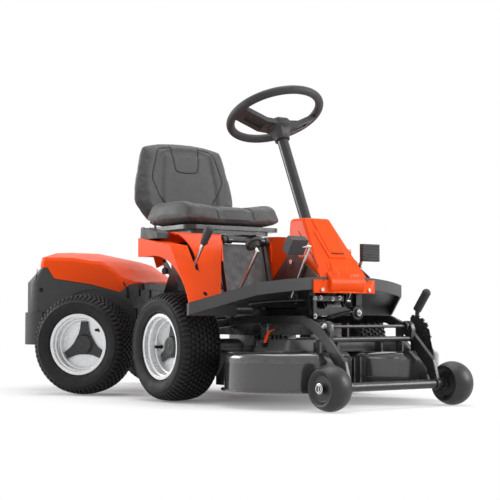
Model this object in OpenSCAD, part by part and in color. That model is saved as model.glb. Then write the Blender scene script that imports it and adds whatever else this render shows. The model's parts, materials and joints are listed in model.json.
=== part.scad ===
// Front deck riding lawn mower with an articulated frame.
// Machine frame: X forward, Y to the left, Z up, front axle above X = 0.

/* [Layout] */
// Reference point on the ground, forward of the front axle
origin_x = -182; // [-260:0.5:-100]
// Reference point on the ground, left of the centre line
origin_y = -74.5; // [-160:0.5:0]
// Distance from the front axle back to the articulation pivot
pivot_back = 500; // [480:5:530]
// Distance from the pivot back to the rear axle
rear_axle_back = 240; // [230:2:260]
// Angle of the rear section to the front section as it stands
steer_angle = 36; // [0:1:38]
// Distance between the middle planes of the left and right wheels
track = 715; // [705:5:760]

/* [Road wheels] */
// Outer diameter of a tyre
tyre_d = 358; // [350:1:364]
// Width of a tyre
tyre_w = 155; // [140:1:158]
// Number of tread lugs round a tyre
lug_count = 30; // [20:2:40]
// Depth of the tread grooves
lug_depth = 8; // [4:1:12]
// Diameter of the rim's bead seat
rim_d = 203; // [196:1:206]
// Width of the rim
rim_w = 124; // [116:1:128]
// Height of the rim flange above the bead seat
flange_h = 6.5; // [4:0.5:9]
// Thickness of the rim steel
rim_t = 4; // [3:0.5:5]
// Radius of the hub cap's spoke tips
cap_tip_r = 80; // [70:1:82]
// Diameter of the axle ends
axle_d = 20; // [16:1:24]

/* [Frame] */
// Distance between the outer faces of the frame rails
frame_w = 220; // [210:2:230]
// Bottom of the frame rails
rail_z = 215; // [212:1:220]
// Height of the frame rails
rail_h = 70; // [66:1:74]
// Flange width of the rails
rail_flange = 25; // [20:1:30]
// Steel thickness of the rails
rail_t = 5; // [4:0.5:6]
// Front end of the light rails under the footplate
rail_front = 400; // [380:5:405]
// Diameter of the articulation pin
pivot_d = 32; // [26:1:36]
// Thickness of the fork plates at the articulation
fork_t = 12; // [10:1:14]

/* [Footplate] */
// Height of the flat floor
floor_z = 312; // [306:1:320]
// Rise of the sloped foot rest per length
floor_slope = 0.324; // [0.28:0.004:0.34]
// Start of the sloped foot rest
floor_bend = 160; // [150:5:170]
// Half width of the footplate at the wings
wing_y = 430; // [420:1:436]
// Front end of the footplate
foot_front = 447; // [440:1:452]
// Radius of the front edge in plan
foot_r = 682; // [640:2:720]
// Sheet thickness of the footplate
foot_t = 5; // [4:0.5:6]
// Height of the turned-down skirt
skirt_h = 38; // [30:1:42]

/* [Fenders] */
// Distance of the fender's outer face from the centre line
fender_y = 420; // [412:1:426]
// Wall thickness of the moulded covers
cover_t = 4; // [3:0.5:5]
// Height of the fender's outer edge at the rear
fender_z = 541; // [535:1:548]
// Radius of the raised inner hump
hump_r = 200; // [195:1:206]
// Width of the lift lever slot
slot_w = 16; // [14:1:18]

/* [Steering] */
// Lean of the column from vertical
column_lean = 24.5; // [22:0.5:26]
// Diameter of the column tube
column_d = 38; // [32:1:42]
// Diameter of the steering shaft
shaft_d = 24; // [18:1:26]
// Length from the column foot to the ring's middle
column_len = 705; // [690:5:720]
// Outer diameter of the steering wheel
wheel_d = 345; // [320:5:360]
// Thickness of the steering wheel's ring
ring_d = 29; // [24:1:32]
// Depth of the hub below the ring
hub_drop = 58; // [50:1:64]
// Height of the steering cover's top
cover_top_z = 600; // [590:1:610]

/* [Seat] */
// Height of the seat hinge
seat_hinge_z = 545; // [540:1:550]
// Length of the seat cushion
cushion_l = 318; // [300:2:326]
// Width of the seat cushion
cushion_w = 436; // [400:2:450]
// Thickness of the seat cushion
cushion_h = 74; // [66:1:80]
// Width of the backrest
back_w = 430; // [400:2:440]
// Height of the backrest
back_h = 322; // [300:2:330]
// Thickness of the backrest
back_t = 62; // [54:1:66]
// Recline of the backrest from vertical
back_lean = 8; // [4:1:10]

/* [Rear section] */
// Half width of the rear body
body_y = 300; // [296:1:304]
// Rear end of the body behind the rear axle
body_overhang = 310; // [300:2:320]
// Corner radius of the body in plan
body_corner = 85; // [70:1:95]
// Highest point of the hood
hood_z = 526; // [518:1:530]
// Height of the hood's hinge
hood_hinge_z = 380; // [376:1:386]

/* [Cutting deck] */
// Distance of the lobes in front of the front axle
lobe_x = 385; // [382:1:390]
// Distance of the lobes from the centre line
lobe_y = 190; // [186:1:192]
// Radius of a lobe
lobe_r = 198; // [190:1:200]
// Height of the deck's lower edge
deck_z = 50; // [46:1:58]
// Height of the deck's top
deck_top = 168; // [160:1:170]
// Sheet thickness of the deck
deck_t = 4; // [3:0.5:5]
// Width of the deck's bottom flange
deck_flange = 10; // [6:1:11]
// Distance of the support wheels in front of the front axle
support_x = 665; // [662:1:680]
// Distance of the support wheels from the centre line
support_y = 249; // [246:1:260]
// Diameter of the support wheels
support_d = 137.5; // [130:0.5:140]
// Width of the support wheels
support_w = 78; // [70:1:84]
// Distance of the carrying arms from the centre line
arm_y = 180; // [178:1:184]
// Thickness of the arms
arm_t = 12; // [10:1:14]

/* [Hidden] */
$fn = 48;
// Gap of a running shaft in its bore
run_gap = 0.05;
// Gap between pieces that move past each other
gap = 0.3;

pivot_x = -pivot_back;
rear_x = pivot_x - rear_axle_back;
axle_z = tyre_d / 2;
axle_r = axle_d / 2;
rail_y = frame_w / 2;
rail_top = rail_z + rail_h;
pivot_r = pivot_d / 2;

// Road wheel sizes along the axle, outward positive
rim_r = rim_d / 2;
disc_face = 4;
hub_in = -20;
hub_out = 14;
hub_r = 27;
nut_r = 15;

// Shared placing and drawing helpers

module place() {
    translate([-origin_x, -origin_y, 0]) children();
}

// The rear section turns about the pivot to the angle at which it stands.
module rear_place() {
    place() translate([pivot_x, 0, 0]) rotate(steer_angle) translate([-pivot_x, 0, 0]) children();
}

module both_sides() {
    children();
    mirror([0, 1, 0]) children();
}

// Extrudes an outline drawn in X and Z between two Y values.
module across(y0, y1) {
    translate([0, y1, 0]) rotate([90, 0, 0]) linear_extrude(y1 - y0) children();
}

module box(low, high) {
    translate(low) cube(high - low);
}

// Straight round bar between two points.
module bar(a, b, r) {
    v = b - a;
    translate(a) rotate([0, acos(v[2] / norm(v)), atan2(v[1], v[0])]) cylinder(r = r, h = norm(v));
}

// Swelling of a bent bar at its bends
elbow = 1.06;

// Round bar bent at the inner points of its path.
module bent_bar(path, r) {
    for (i = [1:len(path) - 1]) bar(path[i - 1], path[i], r);
    if (len(path) > 2) for (i = [1:len(path) - 2]) translate(path[i]) sphere(r * elbow);
}

module pin_y(x, z, y0, y1, r) {
    translate([x, y1, z]) rotate([90, 0, 0]) cylinder(r = r, h = y1 - y0);
}

function arc(c, r, a0, a1, n) = [for (i = [0:n]) let (a = a0 + (a1 - a0) * i / n) c + r * [cos(a), sin(a)]];

// Skin through a row of closed sections with the same number of points.
module loft(sections) {
    n = len(sections[0]);
    m = len(sections);
    sides = [for (i = [0:m - 2], j = [0:n - 1]) let (a = i * n + j, b = i * n + (j + 1) % n)
        each [[a, b, b + n], [a, b + n, a + n]]];
    ends = [[for (j = [n - 1:-1:0]) j], [for (j = [0:n - 1]) (m - 1) * n + j]];
    polyhedron([for (s = sections) each s], concat(sides, ends));
}

// Closed padded form: skin(u, v, s) gives the upper face at s = 1 and the lower face at s = -1.
module pad(n, m, skin) {
    row = m + 1;
    count = (n + 1) * row;
    points = [for (s = [1, -1], i = [0:n], j = [0:m]) skin(2 * i / n - 1, 2 * j / m - 1, s)];
    upper = [for (i = [0:n - 1], j = [0:m - 1]) let (a = i * row + j)
        each [[a, a + 1, a + row + 1], [a, a + row + 1, a + row]]];
    lower = [for (f = upper) [f[2] + count, f[1] + count, f[0] + count]];
    rim = concat([for (j = [0:m - 1]) j], [for (i = [0:n - 1]) i * row + m],
        [for (j = [m:-1:1]) n * row + j], [for (i = [n:-1:1]) i * row]);
    edge = [for (k = [0:len(rim) - 1]) let (a = rim[k], b = rim[(k + 1) % len(rim)])
        each [[a, a + count, b + count], [a, b + count, b]]];
    polyhedron(points, concat(upper, lower, edge));
}

// Road wheels, drawn with the axle along Y and the outer face towards +Y

sidewall_r = 0.55 * (tyre_d / 2 - rim_r);
sidewall_mid = (tyre_d / 2 + rim_r) / 2;
crown_r = 300;
groove_y = 20;
groove_w = 7;
lug_share = 0.64;
dish_out = 48;
cap_h = 10;
cap_dome_r = 36;
cap_dome_h = 22;

module turned() {
    rotate([-90, 0, 0]) rotate_extrude() children();
}

module tyre_section() {
    r_out = tyre_d / 2;
    bead_r = rim_r + gap;
    seat_y = rim_w / 2 - rim_t - gap;
    difference() {
        intersection() {
            translate([bead_r, -tyre_w / 2]) square([r_out - bead_r, tyre_w]);
            union() {
                for (s = [-1, 1]) translate([sidewall_mid, s * (tyre_w / 2 - sidewall_r)]) circle(sidewall_r);
                translate([bead_r, sidewall_r - tyre_w / 2]) square([r_out - bead_r, tyre_w - 2 * sidewall_r]);
            }
            translate([r_out - crown_r, 0]) circle(crown_r);
        }
        for (s = [-1, 1]) translate([r_out - lug_depth, s * groove_y - groove_w / 2])
            square([2 * lug_depth, groove_w]);
        for (s = [0, 1]) mirror([0, s]) translate([0, seat_y]) square([rim_r + flange_h + gap, tyre_w]);
    }
}

// Toothed outline whose gaps cut the grooves across the tread.
module lug_outline() {
    step = 360 / lug_count;
    half = step * lug_share / 2;
    top = tyre_d / 2 + lug_depth;
    floor_r = tyre_d / 2 - lug_depth;
    polygon([for (i = [0:lug_count - 1]) let (a = 90 + i * step)
        each [for (k = [[floor_r, -half], [top, -half], [top, half], [floor_r, half]])
            k[0] * [cos(a + k[1]), sin(a + k[1])]]]);
}

module tyre() {
    color("#26272a") intersection() {
        turned() tyre_section();
        rotate([-90, 0, 0]) translate([0, 0, -tyre_w]) linear_extrude(2 * tyre_w) lug_outline();
    }
}

module rim() {
    bead_in = rim_r - rim_t;
    dish = [[bead_in + 1, dish_out], [bead_in - 5, dish_out - 4], [bead_in - 9, dish_out - 24],
        [bead_in - 13, dish_out - 25], [bead_in - 15, disc_face], [hub_r - 8, disc_face]];
    back = [for (i = [len(dish) - 1:-1:0]) [min(dish[i][0] + 0.8 * rim_t, rim_r - 1), dish[i][1] - rim_t]];
    color("#c9ccce") turned() {
        translate([bead_in, -rim_w / 2]) square([rim_t, rim_w]);
        for (s = [0, 1]) mirror([0, s]) translate([bead_in, rim_w / 2 - rim_t])
            square([rim_t + flange_h, rim_t]);
        polygon(concat(dish, back));
        translate([axle_r + run_gap, hub_in]) square([hub_r - axle_r - run_gap, hub_out - hub_in]);
    }
}

module cap() {
    color("#3c3e41") rotate([-90, 0, 0]) translate([0, 0, disc_face]) difference() {
        union() {
            linear_extrude(cap_h) for (i = [0:2]) rotate(120 * i - 90)
                polygon([[0, -24], [46, -14], [cap_tip_r, -17], [cap_tip_r, 17], [46, 14], [0, 24]]);
            cylinder(r = cap_dome_r, h = cap_dome_h);
        }
        translate([0, 0, -1]) cylinder(r = hub_r + gap, h = cap_dome_h - rim_t);
    }
}

module front_wheel(side) {
    place() translate([0, side * track / 2, axle_z]) rotate(side > 0 ? 0 : 180) children();
}

module rear_wheel(side) {
    rear_place() translate([rear_x, side * track / 2, axle_z]) rotate(side > 0 ? 0 : 180) children();
}

// Axle tube with its ends and nuts for a pair of wheels
module axle_pair(x, tube_r) {
    tube_end = track / 2 + hub_in - gap;
    nut_y = track / 2 + hub_out + gap;
    pin_y(x, axle_z, -tube_end, tube_end, tube_r);
    pin_y(x, axle_z, -nut_y - 5, nut_y + 5, axle_r);
    both_sides() pin_y(x, axle_z, nut_y, nut_y + 5, nut_r);
}

// Front section

arm_pivot_x = -25;
arm_pivot_z = 250;
arm_pivot_r = 10;
lever_x = -75;
lever_z = 270;
lever_y = -255;
lever_pin_r = 8;
seat_rest_x = -420;
seat_rest_z = 556;
case_r = 56;
rail_mid = 150;
light_z = [280, 302];

function floor_top(x) = floor_z + max(0, x - floor_bend) * floor_slope;

module front_frame() {
    rear = pivot_x + 45;
    module rail() {
        difference() {
            box([rear, rail_y - rail_flange, rail_z], [rail_mid, rail_y, rail_top]);
            box([rear - 1, rail_y - rail_flange - 1, rail_z + rail_t],
                [rail_mid + 1, rail_y - rail_t, rail_top - rail_t]);
        }
    }
    module fork() {
        difference() {
            union() {
                translate([pivot_x, 0, 0]) cylinder(r = 45, h = fork_t);
                box([pivot_x, -45, 0], [rear + 10, 45, fork_t]);
            }
            translate([pivot_x, 0, -1]) cylinder(r = pivot_r + run_gap, h = fork_t + 2);
        }
    }
    color("#2b2c2e") place() union() {
        both_sides() rail();
        box([rear, -rail_y, rail_z], [rear + 15, rail_y, rail_top]);
        box([rail_mid - 15, -rail_y, rail_z], [rail_mid, rail_y, rail_top - 25]);
        both_sides() box([90, rail_y - rail_flange, light_z[0]], [rail_front, rail_y, light_z[1]]);
        box([rail_front - 15, -rail_y, light_z[0]], [rail_front, rail_y, light_z[1]]);
        for (z = [rail_z, rail_top - fork_t]) translate([0, 0, z]) fork();
        pin_y(arm_pivot_x, arm_pivot_z, -arm_y - arm_t, arm_y + arm_t, arm_pivot_r);
        pin_y(lever_x, lever_z, lever_y - 10, -rail_y + 1, lever_pin_r);
        both_sides() box([90, rail_y - rail_flange, light_z[1] - 1], [115, rail_y, floor_z - foot_t]);
        both_sides() across(rail_y - rail_flange, rail_y)
            polygon([[376, light_z[1] - 1], [396, light_z[1] - 1], [396, floor_top(396) - foot_t],
                [376, floor_top(376) - foot_t]]);
        both_sides() box([seat_rest_x, rail_y - 14, rail_top - 1], [seat_rest_x + 24, rail_y, seat_rest_z - gap]);
        box([seat_rest_x, -rail_y, seat_rest_z - 14], [seat_rest_x + 24, rail_y, seat_rest_z - gap]);
    }
}

module pivot_pin() {
    color("#8d8f92") place() translate([pivot_x, 0, 0]) {
        translate([0, 0, rail_z - 10]) cylinder(r = pivot_r, h = rail_h + 10);
        translate([0, 0, rail_top]) cylinder(r = pivot_r + 9, h = 8);
    }
}

module transaxle() {
    color("#6d6f72") place() union() {
        axle_pair(0, 24);
        pin_y(0, axle_z, -70, 70, case_r);
        both_sides() pin_y(0, axle_z, 69, 105, 35);
        box([-46, -rail_y, axle_z], [46, rail_y, rail_z]);
        for (i = [0:5]) box([-case_r + 2, -48 + 18 * i, axle_z - 42], [case_r - 2, -42 + 18 * i, axle_z + 34]);
    }
}

foot_rear = -45;
wing_rear = 178;
wing_x = 190;
wing_taper = 0.685;
tongue_y = 240;
drive_pivot = [310, 330];
pedal_y = 118;
reverse_pivot = [100, 285];
reverse_y = -215;
pedal_pin_r = 6;
pedal_boss_r = 11;
column_x = 363;
column_z = 330;

function wing_edge(x, i) = wing_y - (x - wing_x) * wing_taper - i * norm([1, wing_taper]);

module foot_plan(i) {
    far = foot_front + 40;
    intersection() {
        translate([foot_front - foot_r, 0]) circle(foot_r - i);
        polygon([for (s = [-1, 1]) each [for (k = s > 0 ? [0, 1, 2] : [2, 1, 0])
            [[wing_rear + i, s * (wing_y - i)], [wing_x, s * (wing_y - i)], [far, s * wing_edge(far, i)]][k]]]);
    }
}

// Band of the given height under the floor line, drawn in X and Z
module floor_band(h, lift = 0) {
    xs = [foot_rear - 10, floor_bend, foot_front + 40];
    polygon(concat([for (x = xs) [x, floor_top(x) + lift]],
        [for (i = [2:-1:0]) [xs[i], floor_top(xs[i]) + lift - h]]));
}

module footplate() {
    module pedal_ear(p, y0, y1, top) {
        across(y0, y0 + 5) polygon([[p[0] - 18, top], [p[0] + 18, top], [p[0] + 12, p[1] - 12], [p[0] - 12, p[1] - 12]]);
        pin_y(p[0], p[1], y1, y0 + 4, pedal_pin_r);
    }
    color("#55575a") place() union() {
        difference() {
            intersection() {
                across(-wing_y, wing_y) floor_band(foot_t);
                linear_extrude(floor_z * 2) union() {
                    foot_plan(0);
                    translate([foot_rear, -tongue_y]) square([wing_rear + 20 - foot_rear, 2 * tongue_y]);
                }
            }
            translate([column_x - 19, 0, 0]) cylinder(r = 32, h = floor_z * 2);
            both_sides() box([drive_pivot[0] - 6, -pedal_y - 9, floor_z], [drive_pivot[0] + 68, -pedal_y + 9, floor_z * 2]);
            box([88, reverse_y - 9, floor_z - 20], [150, reverse_y + 9, floor_z + 20]);
        }
        intersection() {
            across(-wing_y, wing_y) floor_band(skirt_h);
            linear_extrude(floor_z * 2) difference() {
                foot_plan(0);
                foot_plan(foot_t);
                translate([0, -tongue_y]) square([wing_x + 30, 2 * tongue_y]);
            }
        }
        both_sides() pedal_ear(drive_pivot, -pedal_y + 12, -pedal_y - 8, floor_top(drive_pivot[0] - 18) - foot_t + 2);
        pedal_ear(reverse_pivot, reverse_y + 10, reverse_y - 8, floor_z - foot_t + 1);
    }
}

fender_rear = -139;
fender_front = 183;
fender_kink = [62, 509];
hump_x = -80;
hump_end = 21;
hump_z = 562;
slot_y = -345;
slot_rear = -24;
slot_front = 114;
arch_c = [-45, 250];
arch_r = 228;
wall_a = [165, -290];
wall_b = [-100, -107];
tower_y = 104;

// Side view of the fender: the outer edge, or the hump next to the seat
module fender_side(i, hump) {
    top = hump ? concat([[fender_rear + i, hump_z - i]], arc([hump_x, hump_z - hump_r], hump_r - i, 90, hump_end, 10))
        : [[fender_rear + i, fender_z - i], fender_kink - [i, i]];
    polygon(concat([[fender_rear + i, floor_z]], top, [[fender_front - 1.2 * i, floor_top(fender_front)],
        [fender_front - 1.2 * i, floor_z]]));
}

module fender_plan(i) {
    n = [wall_b[1] - wall_a[1], wall_a[0] - wall_b[0]];
    inward = -i * n / norm(n);
    polygon([[fender_rear + i, -fender_y + i], [fender_front + 1, -fender_y + i], [fender_front + 1, wall_a[1] - i],
        [wall_a[0] + inward[0], wall_a[1] - i], wall_b + inward, [fender_rear + i, wall_b[1] + inward[1]]]);
}

module fender_body(i) {
    intersection() {
        union() {
            across(-fender_y + i, slot_y) fender_side(i, false);
            across(slot_y, -tower_y) fender_side(i, true);
        }
        linear_extrude(2 * hump_z) fender_plan(i);
    }
}

module fender_shell() {
    floor_cut = 0.1;
    difference() {
        fender_body(0);
        translate([0, 0, -floor_cut]) fender_body(cover_t);
        across(-fender_y - 1, -tongue_y - 20) {
            translate(arch_c) circle(arch_r);
            translate([fender_rear - 1, floor_z - 1]) square([arch_c[0] - fender_rear + 1, arch_c[1] + arch_r - floor_z]);
        }
        box([fender_rear - 1, -fender_y, floor_z - 1], [fender_rear + cover_t + 1, -tower_y + 1, arch_c[1] + arch_r]);
        across(-fender_y - 1, 0) difference() {
            translate([floor_bend, floor_z - 1]) square([foot_front, skirt_h]);
            floor_band(0.01, 2 * floor_z);
            polygon([[floor_bend, floor_z], [foot_front, floor_top(foot_front)], [foot_front, 2 * floor_z],
                [floor_bend, 2 * floor_z]]);
        }
    }
    across(-tower_y - 6, -tower_y) union() {
        translate([-112, seat_hinge_z - 12]) circle(16);
        polygon([[-128, seat_hinge_z - 12], [-96, seat_hinge_z - 12], [-90, 470], [-122, 470]]);
    }
}

module right_fender() {
    color("#f4511e") place() difference() {
        fender_shell();
        box([slot_rear, slot_y - slot_w / 2, floor_z + 90], [slot_front, slot_y + slot_w / 2, hump_z + 10]);
    }
}

module left_fender() {
    color("#f4511e") place() mirror([0, 1, 0]) fender_shell();
}

panel_x = [-165, -45];
panel_y = [-410, -362];
panel_z = 572;
throttle_x = -85;
throttle_z = 556;
key_x = -135;

function fender_top(x) = fender_z + (x - fender_rear) * (fender_kink[1] - fender_z) / (fender_kink[0] - fender_rear);
function panel_top(x) = panel_z - 0.13 * (x - panel_x[0]);

module control_panel() {
    mid = (panel_y[0] + panel_y[1]) / 2;
    color("#3a3c3f") place() difference() {
        across(panel_y[0], panel_y[1]) polygon([[panel_x[0], fender_z], [panel_x[0] + 6, panel_z],
            [panel_x[1] - 8, panel_top(panel_x[1] - 8)], [panel_x[1], fender_top(panel_x[1])], [fender_rear, fender_z]]);
        box([throttle_x - 34, mid - 6 - gap, throttle_z - 12], [throttle_x + 34, mid + 6 + gap, panel_z + 1]);
        translate([key_x, mid, panel_z - 18]) cylinder(r = 5 + run_gap, h = 30);
    }
}

module throttle_lever() {
    mid = (panel_y[0] + panel_y[1]) / 2;
    color("#2a2b2d") place() union() {
        pin_y(throttle_x, throttle_z, mid - 6, mid + 6, 9);
        box([throttle_x - 3, mid - 3, throttle_z], [throttle_x + 3, mid + 3, panel_z + 16]);
        translate([throttle_x, mid, panel_z + 20]) rotate([0, 0, 0]) sphere(9);
    }
}

module ignition_key() {
    mid = (panel_y[0] + panel_y[1]) / 2;
    color("#9a9c9f") place() translate([key_x, mid, 0]) {
        translate([0, 0, panel_z - 18]) cylinder(r = 5, h = 26);
        box([-11, -2, panel_z + 7], [11, 2, panel_z + 28]);
    }
}

pedestal_y = 85;

module seat_pedestal() {
    foot = rail_top;
    head = seat_hinge_z - 13;
    module column_side(i) {
        polygon([[-118 - i, head - i], [-58 - i, foot - (i > 0 ? 1 : 0)], [-128 + i, foot - (i > 0 ? 1 : 0)],
            [-168 + i, head - i]]);
    }
    color("#303134") place() union() {
        difference() {
            across(-pedestal_y, pedestal_y) column_side(0);
            across(-pedestal_y + cover_t, pedestal_y - cover_t) column_side(cover_t);
        }
        both_sides() across(pedestal_y - 1, tower_y - 2)
            polygon([[-112, head + 4], [-52, foot], [-74, foot], [-132, head + 4]]);
        both_sides() pin_y(-106, seat_hinge_z, pedestal_y, tower_y - 4, 13);
        pin_y(-106, seat_hinge_z, -pedestal_y - 5, pedestal_y + 5, 8);
    }
}

cable_r = 4;
sprocket_r = 26;

module steering_cables() {
    reach = sprocket_r + cable_r + gap;
    color("#77797c") place() both_sides()
        bent_bar([[358, reach, 342], [322, reach, 326], [285, 66, 290], [262, 70, 268], [pivot_x + 60 + gap, 70, 268]],
            cable_r);
}

// Steering column, drawn along its own axis upward from the foot

hub_low = column_len - hub_drop - 45;
sprocket_z = 8;
tube_low = 22;
brace_y = 104;
brace_t = 6;
brace_tip = [304, 482];

module on_column() {
    place() translate([column_x, 0, column_z]) rotate([0, -column_lean, 0]) children();
}

module below_floor(lift) {
    across(-wing_y, wing_y) floor_band(floor_z, lift);
}

module steering_column() {
    tie_z = 455;
    tie_x = column_x - (tie_z - column_z) * tan(column_lean);
    color("#45474a") union() {
        on_column() difference() {
            translate([0, 0, tube_low]) cylinder(d = column_d, h = hub_low - gap - tube_low);
            cylinder(d = shaft_d + 2 * run_gap, h = column_len);
        }
        difference() {
            place() union() {
                box([330, -rail_y, light_z[1]], [374, rail_y, light_z[1] + 6]);
                box([370, -46, light_z[1]], [396, 46, light_z[1] + 6]);
                across(-30, 30) polygon([[338, light_z[1] + 5], [388, light_z[1] + 5], [376, 345], [350, 335]]);
            }
            on_column() translate([0, 0, 2 - gap]) cylinder(d = shaft_d + 2 * run_gap, h = column_len);
            on_column() translate([0, 0, sprocket_z - 2]) cylinder(r = sprocket_r + 6, h = column_len);
        }
        difference() {
            on_column() {
                both_sides() box([-16, 37, -60], [16, 43, tube_low + 5]);
                difference() {
                    box([-16, -42, tube_low], [16, 42, tube_low + 5]);
                    cylinder(d = column_d - 1, h = column_len);
                }
            }
            place() box([0, -rail_y, 0], [rail_front + 100, rail_y, light_z[1] + 5]);
        }
        place() both_sides() difference() {
            across(brace_y, brace_y + brace_t) difference() {
                polygon([brace_tip - [14, 0], brace_tip + [14, 0], [436, 405], [436, 395], [150, 300], [112, 300], [112, 316]]);
                translate([304, 454]) circle(5);
            }
            below_floor(0);
        }
        place() difference() {
            pin_y(tie_x, tie_z, -brace_y - 1, brace_y + 1, 9);
            translate([tie_x, 0, tie_z]) rotate([0, -column_lean, 0]) cylinder(d = column_d - 1, h = 60, center = true);
        }
    }
}

cover_w = 200;
cover_top_w = 116;
cover_edge = 14;
flange_y = 127;
flange_z = [352, 414];
cover_front = [452, 402];
cover_head = [222, 306];

module cover_form(i) {
    r = cover_edge - i;
    hull() {
        for (s = [-1, 1]) {
            for (x = [255 + cover_edge, cover_front[0] - cover_edge])
                translate([x, s * (cover_w / 2 - cover_edge), floor_z - 1]) cylinder(r = r, h = cover_front[1] - floor_z, $fn = 24);
            for (x = [cover_head[0] + cover_edge, cover_head[1] - cover_edge])
                translate([x, s * (cover_top_w / 2 - cover_edge), cover_top_z - cover_edge]) sphere(r, $fn = 24);
        }
    }
}

module steering_cover() {
    rise = cover_top_z - cover_edge - cover_front[1];
    run = cover_front[0] - cover_head[1];
    tilt = atan2(run, rise);
    front_c = foot_front - foot_r;
    color("#ff5a1f") place() union() {
        difference() {
            union() {
                cover_form(0);
                translate([cover_front[0] - 3, 0, cover_front[1]]) rotate([0, 90 - tilt, 0])
                    linear_extrude(6) polygon([[-rise * 0.42, -34], [-rise * 0.42, 34], [-rise * 1.05, 44], [-rise * 1.05, -44]]);
                intersection() {
                    translate([cover_front[0] - 14, 0, flange_z[0] + 22]) rotate([90, 0, 0])
                        cylinder(r = 22, h = 120, center = true);
                    box([cover_front[0] - 20, -60, flange_z[0]], [foot_front + 20, 60, cover_front[1]]);
                }
            }
            cover_form(cover_t);
            below_floor(gap);
            translate([column_x, 0, column_z]) rotate([0, -column_lean, 0])
                cylinder(d = column_d + 6, h = column_len);
            pin_y(column_x - (455 - column_z) * tan(column_lean), 455, -brace_y, brace_y, 9 + 3);
        }
        translate([front_c, 0, flange_z[0]]) linear_extrude(flange_z[1] - flange_z[0]) intersection() {
            difference() {
                circle(foot_r + gap + cover_t);
                circle(foot_r + gap);
            }
            translate([foot_r - 60, -flange_y]) square([120, 2 * flange_y]);
        }
    }
}

module steering_shaft() {
    teeth = 14;
    color("#9a9c9f") on_column() union() {
        translate([0, 0, 2]) cylinder(d = shaft_d, h = column_len - hub_drop - 4);
        translate([0, 0, sprocket_z]) linear_extrude(10) polygon([for (i = [0:teeth - 1]) let (a = 360 / teeth * i)
            each [(sprocket_r - 6) * [cos(a), sin(a)], sprocket_r * [cos(a + 9), sin(a + 9)],
                sprocket_r * [cos(a + 16), sin(a + 16)]]]);
    }
}

module steering_hub() {
    spoke_w = 66;
    ring_mid = wheel_d / 2 - ring_d / 2;
    base = column_len - hub_drop;
    color("#34363a") on_column() difference() {
        union() {
            translate([0, 0, hub_low]) cylinder(r = 26, h = base - hub_low);
            translate([0, 0, base - 14]) cylinder(r1 = 26, r2 = 44, h = 14);
            translate([0, 0, base]) cylinder(r = 44, h = 18);
            translate([0, 0, base + 18]) cylinder(r1 = 44, r2 = 34, h = 8);
            for (s = [0, 1]) mirror([0, s, 0]) translate([-spoke_w / 2, 0, 0]) rotate([90, 0, 90]) linear_extrude(spoke_w)
                polygon([[20, base], [70, base + 4], [ring_mid, column_len - 12], [ring_mid, column_len + 6],
                    [66, base + 22], [20, base + 18]]);
        }
        for (s = [0, 1]) mirror([0, s, 0]) box([-14, 66, base - 20], [14, ring_mid - 26, column_len + 20]);
        translate([0, 0, hub_low - 1]) cylinder(d = shaft_d + 2 * run_gap, h = base - hub_low - 1);
        translate([0, 0, column_len]) rotate_extrude() translate([ring_mid, 0]) circle(d = ring_d + gap);
    }
}

module steering_ring() {
    color("#1f2023") on_column() translate([0, 0, column_len]) rotate_extrude()
        translate([wheel_d / 2 - ring_d / 2, 0]) circle(d = ring_d);
}

module body_screws() {
    head_r = 6;
    head_h = 4;
    front_r = foot_r + gap + cover_t;
    color("#4b4d50") place() {
        for (s = [-1, 1]) translate([foot_front - foot_r, 0, 362]) rotate(s * asin(97 / front_r))
            translate([front_r, 0, 0]) rotate([0, 90, 0]) cylinder(r = head_r, h = head_h);
        both_sides() pin_y(304, 454, brace_y + brace_t, brace_y + brace_t + head_h, head_r + 1);
    }
}

// Lift lever: cranked rod from the pivot beside the rail, through the fender slot, to the grip

rod_r = 6;
lever_crank = [57, 400];
lever_top = [183, 564];
grip_r = 14;
grip_l = 66;

module lift_lever_rod() {
    aim = (lever_top - lever_crank) / norm(lever_top - lever_crank);
    tip = lever_top - aim * grip_l;
    color("#a7a9ab") place() union() {
        difference() {
            pin_y(lever_x, lever_z, lever_y - 7, lever_y + 7, 15);
            pin_y(lever_x, lever_z, lever_y - 8, lever_y + 8, lever_pin_r + run_gap);
        }
        bent_bar([[lever_x + 9, lever_y, lever_z + 9], [lever_crank[0], lever_y, lever_crank[1]],
            [lever_crank[0], slot_y, lever_crank[1]], [tip[0], slot_y, tip[1]]], rod_r);
    }
}

module lift_lever_grip() {
    aim = (lever_top - lever_crank) / norm(lever_top - lever_crank);
    color("#232427") place() translate([lever_top[0], slot_y, lever_top[1]]) rotate([0, atan2(aim[0], aim[1]), 0])
        translate([0, 0, -grip_l]) rotate_extrude() polygon(concat([[0, 0], [grip_r - 4, 0], [grip_r - 3, 6]],
            [[grip_r, grip_l * 0.5]], arc([grip_r - 8, grip_l - 8], 8, 10, 90, 5), [[0, grip_l]]));
}

// Pedals on steel rods

drive_top = [408, 498];
brake_top = [400, 486];
pedal_rod_r = 5;
pad_w = 64;
pad_h = 54;
pad_t = 26;
pad_off = 12;
pedal_socket = 34;
reverse_top = [243, 508];

module pedal_rod(top, r) {
    bent_bar([[drive_pivot[0] + 4, -pedal_y, drive_pivot[1] + 7], [top[0], -pedal_y, top[1]],
        [top[0] - 8, -pedal_y - pedal_socket, top[1]]], r);
}

module pedal_arm(top) {
    difference() {
        union() {
            pin_y(drive_pivot[0], drive_pivot[1], -pedal_y - 7, -pedal_y + 7, pedal_boss_r);
            pedal_rod(top, pedal_rod_r);
        }
        pin_y(drive_pivot[0], drive_pivot[1], -pedal_y - 8, -pedal_y + 8, pedal_pin_r + run_gap);
    }
}

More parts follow.
